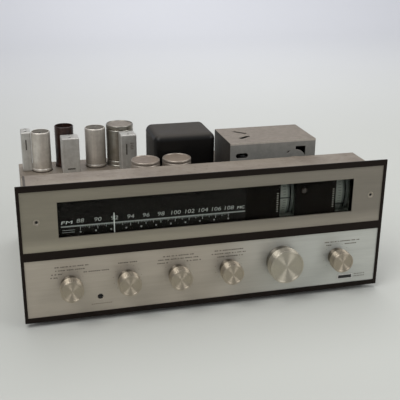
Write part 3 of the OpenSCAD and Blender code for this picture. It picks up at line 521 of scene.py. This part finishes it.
def spun_finish(name, code, centre, length):
    """Turned aluminium, champagne anodise: rings of the tool's feed round the knob's own axis,
    drawn 0.45 mm apart, over a fine grain. Behind the groove, 0.42 of its length from the plate, the
    body is painted dark as painted shade, down to 0.4 of its colour."""
    made, tree, place = new_finish(name)
    ring, groove = 0.45 * MM, 0.42 * length * MM
    shift = [-c for c in np.asarray(centre) * MM + panel_corner]
    at = add(tree, "Mapping", {"Vector": place, "Location": shift})
    wave = add(tree, "TexWave", {"Vector": at, "Scale": 2 * math.pi / (20 * ring),
                                 "Distortion": 0.6, "Detail": 2}, wave_type="RINGS", rings_direction="Y")
    speck = add(tree, "TexNoise", {"Vector": at, "Scale": grain(2.5), "Detail": 5})
    clean = add(tree, "MapRange", {0: speck, 1: 0.3, 2: 0.75, 3: 1.02, 4: 0.95})
    apart = add(tree, "SeparateXYZ", {"Vector": at})
    # painted shade: the back body behind the groove is darkened to 0.4
    back_body_shade = add(tree, "MapRange", {0: apart.outputs[1], 1: -groove * 23 / 21, 2: -groove, 3: 1, 4: 0.4})
    level = add(tree, "Math", {0: clean, 1: back_body_shade}, operation="MULTIPLY")
    shade = add(tree, "VectorMath", {0: colour(code)[:3], "Scale": level}, operation="SCALE")
    relief = add(tree, "Bump", {"Height": wave.outputs[1], "Strength": 0.5, "Distance": 0.000008})
    outward = add(tree, "Tangent", direction_type="UV_MAP", uv_map="flow")
    skin = add(tree, "BsdfPrincipled", {"Base Color": shade, "Metallic": 1.0, "Roughness": 0.48,
                                        "Anisotropic": 0.98, "Tangent": outward,
                                        "Normal": relief})
    add(tree, "OutputMaterial", {"Surface": skin})
    return made


def knob_profile(radius, length):
    """Turned section of a knob, from the bore at its back round the body, groove, grip and a fine
    line to the middle of its dished face. Distances run from the back face towards the user."""
    body, groove, line = radius - 1.6, length * 0.42, length - 3.2
    return eased([(3.2, 0.2), (3.2, 0), (body, 0, 0.5), (body, groove - 0.8, 0.25),
                  (body - 1.2, groove - 0.8, 0.1), (body - 1.2, groove + 0.4, 0.1),
                  (radius, groove + 0.4, 0.5), (radius, line, 0.1), (radius - 0.5, line + 0.3, 0.1),
                  (radius - 0.5, line + 0.6, 0.1), (radius, line + 0.9, 0.1), (radius, length, 0.9),
                  (radius - 1.9, length, 0.3), (radius - 2.4, length - 0.45, 0.3), (0, length - 0.9)], 0.3, 5)


def knob(name, x, z, radius, length, code):
    """One knob: its turned section and the blind bore behind it."""
    centre = (x, plate_front - 0.6, z)
    bore = np.array([[3.2, 0.2], [3.2, 4.0], [0, 4.0]])
    lines = (knob_profile(radius, length), bore)
    piece(name + "_knob_looks", [turned(line, centre, "y", 96, -1) for line in lines],
          spun_finish(name + "_spun_aluminium", code, centre, length), body=name,
          stands_for=[name + "_knob"], sharp=50)


for name, x in small_knob_x.items():
    knob(name, x, knob_height, radius=11.25, length=18.2, code="b8ad9b")
knob("tuning", tuning_x, tuning_height, radius=18, length=18.6, code="c2bbab")


# ---- Dial: glass, scale and pointer ----
# A black enamelled plate behind clear glass, printed in pale grey: a line of even megacycles
# from 88 to 108, ticks, and a fine logging scale. A white wire pointer hangs in front of it.

def scale_finish():
    """Matt black enamel on aluminium with a film of paler dust, broken up by specks 2 mm wide."""
    made, tree, place = new_finish("dial_enamel_black")
    dust = add(tree, "TexNoise", {"Vector": place, "Scale": grain(2), "Detail": 7, "Roughness": 0.75})
    fall = add(tree, "MapRange", {0: dust, 1: 0.45, 2: 0.8})
    tone = add(tree, "Mix", {0: fall, 6: colour("1a1714"), 7: colour("2d2825")}, data_type="RGBA")
    skin = add(tree, "BsdfPrincipled", {"Base Color": tone, "Roughness": 0.55, "Specular IOR Level": 0.08})
    add(tree, "OutputMaterial", {"Surface": skin})
    return made


def glass_finish(name, tint="f3f7f6", roughness=0.02, index=1.45):
    """Clear float glass: it mirrors a little at a slant and shows what is behind it."""
    made, tree, place = new_finish(name)
    film = add(tree, "TexNoise", {"Vector": place, "Scale": grain(30), "Detail": 3})
    haze = add(tree, "MapRange", {0: film, 1: 0.3, 2: 0.8, 3: roughness, 4: roughness + 0.05})
    skin = add(tree, "BsdfPrincipled", {"Base Color": colour(tint), "Roughness": haze,
                                        "Transmission Weight": 1.0, "IOR": index})
    add(tree, "OutputMaterial", {"Surface": skin})
    return made


scale_face = 6.2


def dial_x(megacycles):
    """Place of a frequency along the dial: the divisions close up towards the high end."""
    t = (megacycles - 88) / 20
    return 58.4 + 170 * t - 28 * t ** 2 + 6 * t ** 3


def lettering(name, text, x, z, height, finish, widen=1.3):
    """Flat numbers or letters standing on the dial's face, centred at x with their middle at z."""
    curve = bpy.data.curves.new(name, "FONT")
    curve.body, curve.align_x, curve.align_y = text, "CENTER", "CENTER"
    curve.size, curve.shear, curve.extrude = 1.0, 0.12, 0.008
    curve.resolution_u = 3
    holder = bpy.data.objects.new(name + "_type", curve)
    bpy.context.scene.collection.objects.link(holder)
    mesh = bpy.data.meshes.new_from_object(holder.evaluated_get(bpy.context.evaluated_depsgraph_get()))
    bpy.data.objects.remove(holder)
    size = height / 0.72                # a capital is 0.72 of the type's size
    flat = np.zeros(len(mesh.vertices) * 3)
    mesh.vertices.foreach_get("co", flat)
    flat = flat.reshape(-1, 3)
    stood = np.stack([x + flat[:, 0] * size * widen, scale_face - 0.05 - flat[:, 2] * size,
                      z + flat[:, 1] * size], -1)
    mesh.vertices.foreach_set("co", (stood * MM + panel_corner).ravel())
    mesh.update()
    place_piece(name, mesh, finish, "chassis", (), 30)


piece("dial_scale_plate", block((33.5, scale_face, 84.5), (224.7, 8, 128), 0.2), scale_finish(),
      stands_for=["dial_scale"])
piece("dial_window_glass", block((33.5, 3.05, 79.8), (342.5, 4.3, 130.3), 0.15),
      glass_finish("dial_bloomed_glass", index=1.05), stands_for=["dial_glass"])

scale_ink = ink_finish("dial_ink_pale", "b4b4ad", 0.5)
for megacycles in range(88, 109, 2):
    lettering(f"dial_number_{megacycles}", str(megacycles), dial_x(megacycles), 101.3, 4.1, scale_ink)
white_ink = ink_finish("dial_ink_white", "e4e4dd")
lettering("dial_band_letters", "FM", 45.5, 100.4, 3.2, white_ink, widen=2.1)
lettering("dial_unit_letters", "MC", 219.2, 100.8, 3.0, white_ink)
# the base line, two short rules under the band's name, ticks that hang from the line, and ten marks
lines = [(132, 96.4, 184, 1.3), (47, 92.6, 12, 0.4), (47, 90.4, 12, 0.4)]
for step in range(0, 101):
    tall = 3.6 if step % 10 == 0 else 2.4 if step % 5 == 0 else 1.2
    lines.append((dial_x(88 + step / 5), 95.6 - tall / 2, 0.5 if step % 5 == 0 else 0.28, tall))
for step in range(0, 11):
    lines.append((dial_x(88) + step * (dial_x(108) - dial_x(88)) / 10, 90.0, 1.5, 1.6))
piece("dial_scale_lines", flat_bars(lines, scale_face - 0.06, 0.06),
      ink_finish("dial_ink_grey", "a3a49e", 0.5))

# the pointer's wire and shank, then its carriage over the rail: (half width, y and z of two corners)
pointer_x = 91
pointer_blocks = ((0.5, 4.85, 80.7, 5.65, 107), (0.6, 5.0, 80.7, 11, 83.8), (5, 10.2, 77.6, 14.8, 79),
                  (5, 10.2, 81.8, 14.8, 84.2), (5, 10.2, 79, 11, 87.4), (5, 14.1, 79, 14.8, 87.4))
piece("dial_pointer_wire", [grid for half, y0, z0, y1, z1 in pointer_blocks
                            for grid in block((pointer_x - half, y0, z0), (pointer_x + half, y1, z1), 0.3)],
      ink_finish("pointer_enamel", "f2f2ec", 0.35), body="dial_pointer",
      stands_for=["pointer"])


# ---- Meters and pilot jewel ----
# A dark brown mask with two tall slots. Behind each slot an edge meter shows a curved pale scale,
# read by a dark flag that swings up and down. Between them sits a jewel in a dark bezel.

def moulded_finish(name, code, roughness=0.45, blotch=0.25, sheen=0.5):
    """Moulded plastic or resin-bonded sheet: an even colour with a faint cloud and fine texture."""
    made, tree, place = new_finish(name)
    cloud = add(tree, "TexNoise", {"Vector": place, "Scale": grain(14), "Detail": 5})
    fine = add(tree, "TexNoise", {"Vector": place, "Scale": grain(0.9), "Detail": 3})
    level = add(tree, "MapRange", {0: cloud, 1: 0.3, 2: 0.75, 3: 1 + blotch / 2, 4: 1 - blotch})
    shade = add(tree, "VectorMath", {0: colour(code)[:3], "Scale": level}, operation="SCALE")
    rough = add(tree, "MapRange", {0: cloud, 3: roughness - 0.08, 4: roughness + 0.1})
    relief = add(tree, "Bump", {"Height": fine, "Strength": 0.15, "Distance": 0.0001})
    skin = add(tree, "BsdfPrincipled", {"Base Color": shade, "Roughness": rough,
                                        "Specular IOR Level": sheen, "Normal": relief})
    add(tree, "OutputMaterial", {"Surface": skin})
    return made


softened("meter_mask", moulded_finish("mask_enamel_brown", "130e0a", 0.5, sheen=0.06), 0.2)
softened("meter_cases", moulded_finish("meter_case_moulding", "55574f", 0.5, sheen=0.2), 0.2)
meter_slots = (261.4, 322.5)
pivot_y, pivot_z, scale_radius, tick_radius = 46, 105.4, 35, 35.12
swing = np.radians(np.linspace(-35, 31, 34))
strips, bands, ticks = [], [], []


def arc(radius, x):
    """Points of an upright arc about the needles' pivot at one x."""
    y, z = pivot_y - radius * np.cos(swing), pivot_z + radius * np.sin(swing)
    return np.stack([np.full(swing.size, x), y, z], -1)


for left in meter_slots:
    for store, start, end in ((strips, -0.6, 9.6), (bands, 9.6, 11.8), (bands, 13.4, 16.4)):
        section = [(left + start, scale_radius + 0.06), (left + end, scale_radius + 0.06),
                   (left + end, scale_radius - 0.5), (left + start, scale_radius - 0.5),
                   (left + start, scale_radius + 0.06)]
        store.append(np.stack([arc(r, x) for x, r in section], 1))
    for a in np.radians(np.linspace(-24, 24, 11)):
        y, z = pivot_y - tick_radius * math.cos(a), pivot_z + tick_radius * math.sin(a)
        ticks += flat_bars([(left + 6.4, z, 3.2, 0.4)], y - 0.05, 0.1)
piece("meter_scale_strips", strips, moulded_finish("meter_scale_card", "8b8c82", 0.6, 0.15))
piece("meter_side_bands", bands, moulded_finish("meter_side_card", "5e615a", 0.6, 0.15))
piece("meter_scale_ticks", ticks, ink_finish("meter_tick_ink", "2b2c2a"))
label_bars = [(x, z, 1.7, 1.3) for x in (258.4, 319.6) for z in np.arange(93, 114.5, 2.4)]
piece("meter_labels", flat_bars(label_bars, scale_face - 0.06, 0.06),
      ink_finish("meter_label_ink", "8f8a80"))

for name, left, tilt in (("tuning", meter_slots[0], 0), ("signal", meter_slots[1], 20)):
    reach = scale_radius + 1.3
    parts = (block((left + 10.9, -1.6, -1.6), (left + 14.5, 1.6, 1.6), 1.4)
             + block((left + 12, -reach, -0.4), (left + 12.8, 0, 0.4), 0.2)
             + block((left + 1, -reach, -0.5), (left + 12.8, 0.8 - reach, 0.5), 0.2))
    sine, cosine = math.sin(math.radians(tilt)), math.cos(math.radians(tilt))
    swung = []
    for grid in parts:
        x, y, z = np.moveaxis(grid, -1, 0)
        swung.append(np.stack([x, y * cosine - z * sine + pivot_y, y * sine + z * cosine + pivot_z], -1))
    piece(name + "_needle_flag", swung, ink_finish(name + "_needle_enamel", "12110f", 0.4),
          body=name + "_meter_needle", stands_for=[name + "_needle"])

jewel_at = (286.9, scale_face - 1.2, 112.7)
bezel = eased([(2.7, 0.9), (3.0, 0.25), (3.5, 0.02), (4.0, 0.3), (4.3, 1.2), (3.6, 1.2), (3.6, 11),
               (2.4, 11.2), (2.4, 13), (0, 13)], 0.2)
piece("lamp_bezel_ring", [turned(bezel, jewel_at, "y", 48)],
      steel_finish("bezel_dark_chrome", "352e28", 0.2), stands_for=["stereo_lamp"])
dome = eased([(2.75, 1.2), (2.6, 0.8, 0.2), (1.6, 0.3, 0.6), (0, 0.15)], 0.3)
piece("lamp_jewel", [turned(line, jewel_at, "y", 32) for line in (dome, np.array([[2.75, 1.2], [0, 1.2]]))],
      moulded_finish("jewel_dark_plastic", "3a2f28", 0.12))


# ---- Chassis: raised dial cover, deck, walls and bottom cover ----
# Sheet steel 1.2 mm thick, sheared, folded and flashed with copper, which has gone a dull
# brownish grey with stains. The raised cover over the dial is screwed to the deck.

def flashed_steel(name, light, dark, stain, dim_left=None):
    """Copper-flashed steel gone dull: clouds of two tones 35 mm wide, small darker stains, rolling
    marks along x and fine pitting, half metallic. Left of dim_left, where given, it is painted dark,
    down to 0.34 of its colour, as painted shade along that edge."""
    made, tree, place = new_finish(name)
    cloud = add(tree, "TexNoise", {"Vector": place, "Scale": grain(35), "Detail": 5, "Roughness": 0.6})
    spots = add(tree, "TexNoise", {"Vector": place, "Scale": grain(8), "Detail": 7, "Roughness": 0.72})
    drawn = add(tree, "Mapping", {"Vector": place, "Scale": (0.05, 1, 1)})
    rolled = add(tree, "TexNoise", {"Vector": drawn, "Scale": grain(1.6), "Detail": 4})
    soft = add(tree, "MapRange", {0: cloud, 1: 0.35, 2: 0.68})
    tone = add(tree, "Mix", {0: soft, 6: colour(light), 7: colour(dark)}, data_type="RGBA")
    marks = add(tree, "MapRange", {0: spots, 1: 0.58, 2: 0.74, 4: 0.75})
    stained = add(tree, "Mix", {0: marks, 6: tone, 7: colour(stain)}, data_type="RGBA")
    streak = add(tree, "MapRange", {0: rolled, 1: 0.3, 2: 0.7, 3: 0.95, 4: 1.05})
    if dim_left is not None:
        apart = add(tree, "SeparateXYZ", {"Vector": place})
        # painted shade: dark strip left of dim_left
        left_edge_shade = add(tree, "MapRange", {0: apart.outputs[0], 1: dim_left - 0.0002, 2: dim_left + 0.0002,
                                       3: 0.34, 4: 1})
        streak = add(tree, "Math", {0: streak, 1: left_edge_shade}, operation="MULTIPLY")
    shade = add(tree, "VectorMath", {0: stained, "Scale": streak}, operation="SCALE")
    rough = add(tree, "MapRange", {0: spots, 1: 0.3, 2: 0.7, 3: 0.42, 4: 0.62})
    relief = add(tree, "Bump", {"Height": spots, "Strength": 0.12, "Distance": 0.0002})
    skin = add(tree, "BsdfPrincipled", {"Base Color": shade, "Metallic": 0.55,
                                        "Roughness": rough, "Normal": relief})
    add(tree, "OutputMaterial", {"Surface": skin})
    return made


flashing = ("93897c", "7d7266", "5c5044")
dull_steel = flashed_steel("copper_flashed_steel", *flashing)
# the dark strip along the dial cover's left edge is painted shade
dull_cover = flashed_steel("copper_flashed_cover", *flashing, dim_left=panel_corner[0] + 10.7 * MM)
softened("dial_housing", dull_cover, 0.5)
for node in ("chassis_deck", "chassis_walls", "bottom_cover"):
    softened(node, dull_steel, 0.3)
rubber = moulded_finish("black_rubber", "161514", 0.75, 0.35)
softened("feet", rubber, 0.6)


# ---- IF cans ----
# Three drawn aluminium cans with rounded corners. Each has two eyelets over its tuning cores in
# the lid and a bar stamped on its front, and one has a faint part mark.

def drawn_aluminium(name, light, dark, roughness=0.42, metal=0.5):
    """Drawn aluminium gone dull: upright drawing marks, soft blotches of oxide, small stains."""
    made, tree, place = new_finish(name)
    drawn = add(tree, "Mapping", {"Vector": place, "Scale": (1, 1, 0.04)})
    marks = add(tree, "TexNoise", {"Vector": drawn, "Scale": grain(3), "Detail": 6, "Roughness": 0.7})
    oxide = add(tree, "TexNoise", {"Vector": place, "Scale": grain(12), "Detail": 6, "Roughness": 0.65})
    soft = add(tree, "MapRange", {0: oxide, 1: 0.36, 2: 0.7})
    tone = add(tree, "Mix", {0: soft, 6: colour(light), 7: colour(dark)}, data_type="RGBA")
    streak = add(tree, "MapRange", {0: marks, 1: 0.3, 2: 0.7, 3: 0.86, 4: 1.12})
    shade = add(tree, "VectorMath", {0: tone, "Scale": streak}, operation="SCALE")
    rough = add(tree, "MapRange", {0: oxide, 1: 0.3, 2: 0.7, 3: roughness - 0.08, 4: roughness + 0.1})
    relief = add(tree, "Bump", {"Height": marks, "Strength": 0.15, "Distance": 0.0002})
    skin = add(tree, "BsdfPrincipled", {"Base Color": shade, "Metallic": metal,
                                        "Roughness": rough, "Normal": relief})
    add(tree, "OutputMaterial", {"Surface": skin})
    return made


deck_top = 90
can_metal = drawn_aluminium("drawn_can_aluminium", "bdbcb6", "a39f98")
if_cans = ((13, 24.1, 205, 226, 137), (57.9, 78.4, 186, 205.5, 132), (125.5, 144, 174, 193.5, 135.4))
bodies, eyelets, lid_cores = [], [], []
for x0, x1, y0, y1, top in if_cans:
    bodies += block((x0, y0, deck_top), (x1, y1, top), 1.3, 4)
    for y in (y0 + 5, y1 - 5):
        lip = eased([(1.7, -0.4), (1.7, 0.35, 0.1), (2.4, 0.35, 0.3), (2.6, -0.4), (1.7, -0.4)], 0.2)
        eyelets.append(turned(lip, ((x0 + x1) / 2, y, top), "z", 24))
        core = eased([(0, 0.1), (1.75, 0.1, 0.1), (1.75, -0.4), (0, -0.4)], 0.2)
        lid_cores.append(turned(core, ((x0 + x1) / 2, y, top), "z", 20))
piece("if_can_shells", bodies, can_metal, stands_for=["if_cans"])
piece("if_can_eyelets", eyelets, can_metal)
piece("if_can_cores", lid_cores, moulded_finish("ferrite_core", "2b2724", 0.6))
mark_faces = [near - 0.04 for _, _, near, _, _ in if_cans]
mark_rows = [(138.4, 125.5 - 2.3 * row, 4.4 - 0.8 * (row % 2), 1.0) for row in range(4)]
piece("if_can_part_marks", flat_bars(mark_rows, mark_faces[2], 0.08),
      ink_finish("stamped_mark_ink", "6e685f", 0.7))
stamps = ((18.4, 122.2, 1.5, 12.5), (68.1, 95.2, 9, 1.8), (132, 118.5, 1.7, 13))
piece("if_can_stamps", [grid for y, bar in zip(mark_faces, stamps) for grid in flat_bars([bar], y, 0.08)],
      ink_finish("stamped_mark_shadow", "47423b", 0.7))


# ---- Valve shields, valves and sockets ----
# Each shield is a thin spun tube, open at the top, with its edge turned in and a bright spring
# ring at its foot. It stands round a nine-pin valve in a brown socket. One is finished dark brown.

def tube(x, y, radius, top, ribs=0.0):
    """A shield from foot to rim and down inside: the wall may carry shallow rolled ribs, which are a
    sine of the height that fades in over the upper third."""
    foot = deck_top + 1
    outer = [(radius - 0.45, foot), (radius + 0.3, foot), (radius + 0.5, foot + 0.4),
             (radius + 0.5, foot + 2), (radius + 0.2, foot + 2.6), (radius - 0.1, foot + 3)]
    z = np.linspace(foot + 3.2, top - 2.2, 40 if ribs else 4)
    ripple = ribs * np.sin((top - z) * 2 * math.pi / 3.2) * np.clip((z - top + 18) / 4, 0, 1)
    wall = np.stack([radius - ribs - 0.05 + ripple, z], -1)
    rim = eased([wall[-1], (radius - 0.05, top - 0.9, 0.4), (radius - 0.6, top, 0.5),
                 (radius - 1.3, top, 0.2), (radius - 1.3, top - 0.6, 0.2), (radius - 0.9, top - 1.1, 0.4),
                 (radius - 0.75, foot), outer[0]], 0.3)
    return turned(np.concatenate([outer, wall, rim[1:]]), (x, y, 0), "z", 72)


shields = ((35.5, 207, 11.1, 137.5), (100, 211, 12.3, 137.7))
dark_shield = (64, 220, 11.4, 139.5)
piece("bright_valve_shields", [tube(*place) for place in shields],
      drawn_aluminium("spun_shield_metal", "cfc9bf", "b5aea4", 0.42, 0.6),
      stands_for=["valve_shields"], sharp=60)
piece("dark_valve_shield", [tube(*dark_shield, ribs=0.22)],
      drawn_aluminium("heat_radiating_finish", "3a2219", "170e0b", 0.36, 0.1),
      stands_for=["black_valve_shield"], sharp=60)

valve_places = [place[:2] for place in shields] + [dark_shield[:2], (250, 96), (250, 124)]
bulb = eased([(0, 4.3), (8.6, 4.3, 0.8), (9.5, 6, 1), (9.5, 37.5, 3), (7.6, 41.6, 2), (3.6, 43.4, 1),
              (1.1, 44.2, 0.8), (0.55, 46, 0.3), (0, 46.4)], 0.3, 6)
piece("valve_bulbs", [turned(bulb, (x, y, deck_top), "z", 40) for x, y in valve_places],
      glass_finish("valve_glass_clear", "eef4f2", 0.03), stands_for=["valves"], sharp=60)
inside = []
for x, y in valve_places:
    inside += block((x - 4.6, y - 3.2, deck_top + 10), (x + 4.6, y + 3.2, deck_top + 32), 1.2)
    for z in (8.6, 33):
        disc = eased([(0, z), (7.6, z), (7.6, z + 0.5), (0, z + 0.5)], 0.1)
        inside.append(turned(disc, (x, y, deck_top), "z", 24))
    ring = eased([(2.2, 37), (3.4, 37), (3.4, 38), (2.2, 38), (2.2, 37)], 0.2)
    inside.append(turned(ring, (x, y, deck_top), "z", 24))
piece("valve_anodes", inside, steel_finish("blackened_nickel", "3c3a38", 0.5))
softened("valve_sockets", moulded_finish("phenolic_brown", "33241b", 0.5), 0.25)


# ---- Filter capacitor and the two low cans ----
# Seamed cans: an aluminium body with a crimp near its foot, closed by a lid that is sunk inside a
# rolled bright rim. The lids of the low cans are copper coloured.

def seamed_can(x, y, radius, top, rim=3.2):
    """Wall and rim of a can as one turned profile, from its foot to the inner edge of its rim."""
    height = top - deck_top
    profile = eased([(0, 0), (radius + 0.45, 0, 0.1), (radius + 0.45, 1.1, 0.2), (radius - 0.1, 1.8, 0.3),
                     (radius - 0.1, 5.8, 0.6), (radius - 0.9, 6.9, 0.6), (radius - 0.1, 8, 0.6),
                     (radius - 0.1, height - rim - 1, 0.6), (radius - 0.75, height - rim, 0.6),
                     (radius - 0.1, height - rim + 0.9, 0.5), (radius - 0.1, height - 0.7, 0.5),
                     (radius - 0.55, height - 0.05, 0.5), (radius - 1.0, height - 0.05, 0.4),
                     (radius - 1.3, height - 0.9, 0.3), (radius - 1.5, height - 0.9)], 0.3, 4)
    return turned(profile, (x, y, deck_top), "z", 80)


def lid(x, y, radius, top):
    """Sunk lid: a flat disc that rises in a low dome, closing the rim's inner edge."""
    height, proud = top - deck_top - 0.9, 0.25
    profile = eased([(radius - 1.5, height), (radius - 2.4, height, 0.5), (radius - 3.0, height + proud, 0.6),
                     (radius * 0.4, height + proud, 2), (0, height + proud * 0.8)], 0.3, 4)
    under = np.array([[0, height - 1.2], [radius - 1.5, height - 1.2], [radius - 1.5, height]])
    return turned(np.concatenate([under, profile]), (x, y, deck_top), "z", 80)


filter_can = (130, 213, 16.4, 140)
low_cans = ((136.5, 80.8, 15.4, 134.5), (170.5, 80.8, 15.4, 134.5))
piece("filter_can_body", [seamed_can(*filter_can, rim=5.2)],
      drawn_aluminium("filter_can_aluminium", "9a978f", "7c776c", 0.34, 0.9),
      stands_for=["filter_can"], sharp=55)
piece("filter_can_lid", [lid(*filter_can)],
      flashed_steel("dull_lid_metal", "8f867b", "746b60", "4f473e"), sharp=55)
piece("low_can_bodies", [seamed_can(*can) for can in low_cans],
      drawn_aluminium("low_can_metal", "a49a8e", "857a6f", 0.4, 0.6),
      stands_for=["low_cans"], sharp=55)
piece("low_can_lids", [lid(*can) for can in low_cans],
      flashed_steel("copper_coloured_lid", "8f8172", "776a5e", "5a4e45"), sharp=55)


# ---- Power transformer ----
# A steel cover drawn with round corners and sprayed black, over varnished laminations that show as
# a dark flange. Dust and a painted sheen lie on its top.

def dusty_black(name):
    """Black enamel, satin, fine orange peel: grey-brown dust and a painted sheen lie where the surface
    faces up, as its normal's height says, broken up by a cloud 18 mm wide."""
    made, tree, place = new_finish(name)
    facing = add(tree, "TexCoord")
    apart = add(tree, "SeparateXYZ", {"Vector": facing.outputs["Normal"]})
    cloud = add(tree, "TexNoise", {"Vector": place, "Scale": grain(18), "Detail": 6, "Roughness": 0.62})
    peel = add(tree, "TexNoise", {"Vector": place, "Scale": grain(0.9), "Detail": 3})
    # dust and painted sheen: what faces up is painted paler grey-brown
    dust_and_sheen_up = add(tree, "MapRange", {0: apart.outputs[2], 1: 0.35, 2: 0.98, 4: 0.85},
                interpolation_type="SMOOTHSTEP")
    broken = add(tree, "MapRange", {0: cloud, 1: 0.25, 2: 0.75, 3: 0.65, 4: 1.1})
    dust = add(tree, "Math", {0: dust_and_sheen_up, 1: broken}, operation="MULTIPLY")
    tone = add(tree, "Mix", {0: dust, 6: colour("0c0b0a"), 7: colour("3f3a34")}, data_type="RGBA")
    rough = add(tree, "MapRange", {0: dust, 3: 0.36, 4: 0.75})
    relief = add(tree, "Bump", {"Height": peel, "Strength": 0.12, "Distance": 0.0002})
    skin = add(tree, "BsdfPrincipled", {"Base Color": tone, "Roughness": rough,
                                        "Specular IOR Level": 0.25, "Normal": relief})
    add(tree, "OutputMaterial", {"Surface": skin})
    return made


(left, near, _), (right, far, _) = span("transformer_cover")
crown, corner, skirt = 152.8, 7, deck_top + 8       # the shell is a rounded block cut flat at its skirt
shell = block((left, near, skirt - corner), (right, far, crown), corner, 10, 6)
shell = [np.concatenate([grid[..., :2], np.maximum(grid[..., 2:], skirt)], -1) for grid in shell]
piece("transformer_shell", shell, dusty_black("transformer_enamel"),
      stands_for=["transformer_cover"], sharp=60)
softened("transformer_core", moulded_finish("varnished_laminations", "1c1a18", 0.4), 0.4)


# ---- Front-end box, tuning gang and cord drum ----
# A folded steel box with slots and holes shields the gang and two valves. Its front is painted
# greyer and its left side darker, as painted light and shade, and its folded lip carries a painted
# highlight. The drum before it turns the gang.

def box_finish(name, top, front, side, lip):
    """Dull folded steel: one tone for what faces up, two others for what faces the front and the
    left, mixed by the surface's own direction as painted light and shade; blotches 6 mm wide; the
    lip along the upper front edge, the last 2 mm below the top, is a painted highlight."""
    made, tree, place = new_finish(name)
    facing = add(tree, "SeparateXYZ", {"Vector": add(tree, "TexCoord").outputs["Normal"]})
    blotch = add(tree, "TexNoise", {"Vector": place, "Scale": grain(6), "Detail": 6, "Roughness": 0.65})
    stain = add(tree, "TexNoise", {"Vector": place, "Scale": grain(28), "Detail": 4})
    # painted light and shade: tones chosen by the way a face points
    front_light_mask = add(tree, "MapRange", {0: facing.outputs[1], 1: -0.85, 2: -0.5, 3: 1, 4: 0})
    left_shade_mask = add(tree, "MapRange", {0: facing.outputs[0], 1: -0.85, 2: -0.5, 3: 1, 4: 0})
    apart = add(tree, "SeparateXYZ", {"Vector": place})
    # painted highlight: the lip along the upper front edge
    rubbed = add(tree, "MapRange", {0: apart.outputs[2], 1: lip_height - 0.0003, 2: lip_height + 0.0003})
    face = add(tree, "Mix", {0: rubbed, 6: colour(front), 7: colour(lip)}, data_type="RGBA")
    seen = add(tree, "Mix", {0: front_light_mask, 6: colour(top), 7: face}, data_type="RGBA")
    tone = add(tree, "Mix", {0: left_shade_mask, 6: seen, 7: colour(side)}, data_type="RGBA")
    mottle = add(tree, "MapRange", {0: blotch, 1: 0.3, 2: 0.72, 3: 1.1, 4: 0.84})
    cloud = add(tree, "MapRange", {0: stain, 1: 0.3, 2: 0.7, 3: 0.95, 4: 1.06})
    both = add(tree, "Math", {0: mottle, 1: cloud}, operation="MULTIPLY")
    shade = add(tree, "VectorMath", {0: tone, "Scale": both}, operation="SCALE")
    rough = add(tree, "MapRange", {0: blotch, 3: 0.4, 4: 0.58})
    skin = add(tree, "BsdfPrincipled", {"Base Color": shade, "Metallic": 0.3,
                                        "Roughness": rough})
    add(tree, "OutputMaterial", {"Surface": skin})
    return made


box_top, lip = 146, 2.1
lip_height = panel_corner[2] + (box_top - lip) * MM
# painted light and shade: top, front and darker left tones, then the lip's painted highlight
softened("rf_cover", box_finish("box_steel_dull", "7d7367", "85847f", "3a352f", "b9b1a6"), 0.4)
softened("cord_drum", moulded_finish("drum_moulding", "8e8578", 0.55), 0.25, body="gang")
softened("gang_rotor", steel_finish("gang_plate_aluminium", "b5b4ae", 0.4), 0.12, body="gang")
softened("gang_frame", steel_finish("cadmium_plate", "98948a", 0.42), 0.2)


# ---- Back panel fittings ----
# Aerial screws on a phenolic strip, four phono sockets, fuse holder with a bayonet cap, switched
# mains outlet and a rubber gland where a mains lead would leave.

softened("antenna_strip", moulded_finish("phenolic_strip", "4a3020", 0.5), 0.4)
softened("phono_jacks", steel_finish("nickel_plate", "c2bdb0", 0.22), 0.15)
bakelite = moulded_finish("black_bakelite", "12100f", 0.3)
softened("fuse_holder", bakelite, 0.3)
softened("fuse_cap", bakelite, 0.4, body="fuse_cap")
softened("mains_outlet", bakelite, 0.35)
softened("cord_gland", rubber, 0.35)


# ---- Drive and controls behind the panel ----
# Shafts, bushes and nuts, the flywheel, nylon pulleys and the braided cords; switches and
# potentiometers; the lamps, the pointer's rail and the parts board. These keep their CAD shapes.

def refinish(finish, *names):
    """Gives CAD nodes a finish and leaves their shapes alone."""
    for name in names:
        for holder in nodes[name].material_slots:
            holder.material = finish


turned_steel = steel_finish("turned_steel", "a8a59e", 0.32)
refinish(turned_steel, "selector_shaft", "level_shaft", "mode_shaft", "muting_shaft", "balance_shaft",
         "tuning_shaft", "pointer_rail", "panel_nuts")
refinish(steel_finish("flywheel_turned", "86837c", 0.4), "flywheel")
refinish(steel_finish("bearing_brass_turned", "b79a5c", 0.35), "shaft_bearings")
refinish(moulded_finish("nylon_white", "d8d0bb", 0.45, 0.1), "cord_pulleys")
refinish(moulded_finish("braided_cord", "c8bfa4", 0.85, 0.3), "dial_cords")
refinish(moulded_finish("paper_phenolic", "5c3d26", 0.5), "rotary_switches", "component_board")
refinish(bakelite, "preset_spindle")
refinish(steel_finish("plated_control_can", "9b978c", 0.4), "potentiometers")
refinish(glass_finish("lamp_glass_clear", "f6efe0", 0.03), "dial_lamps")
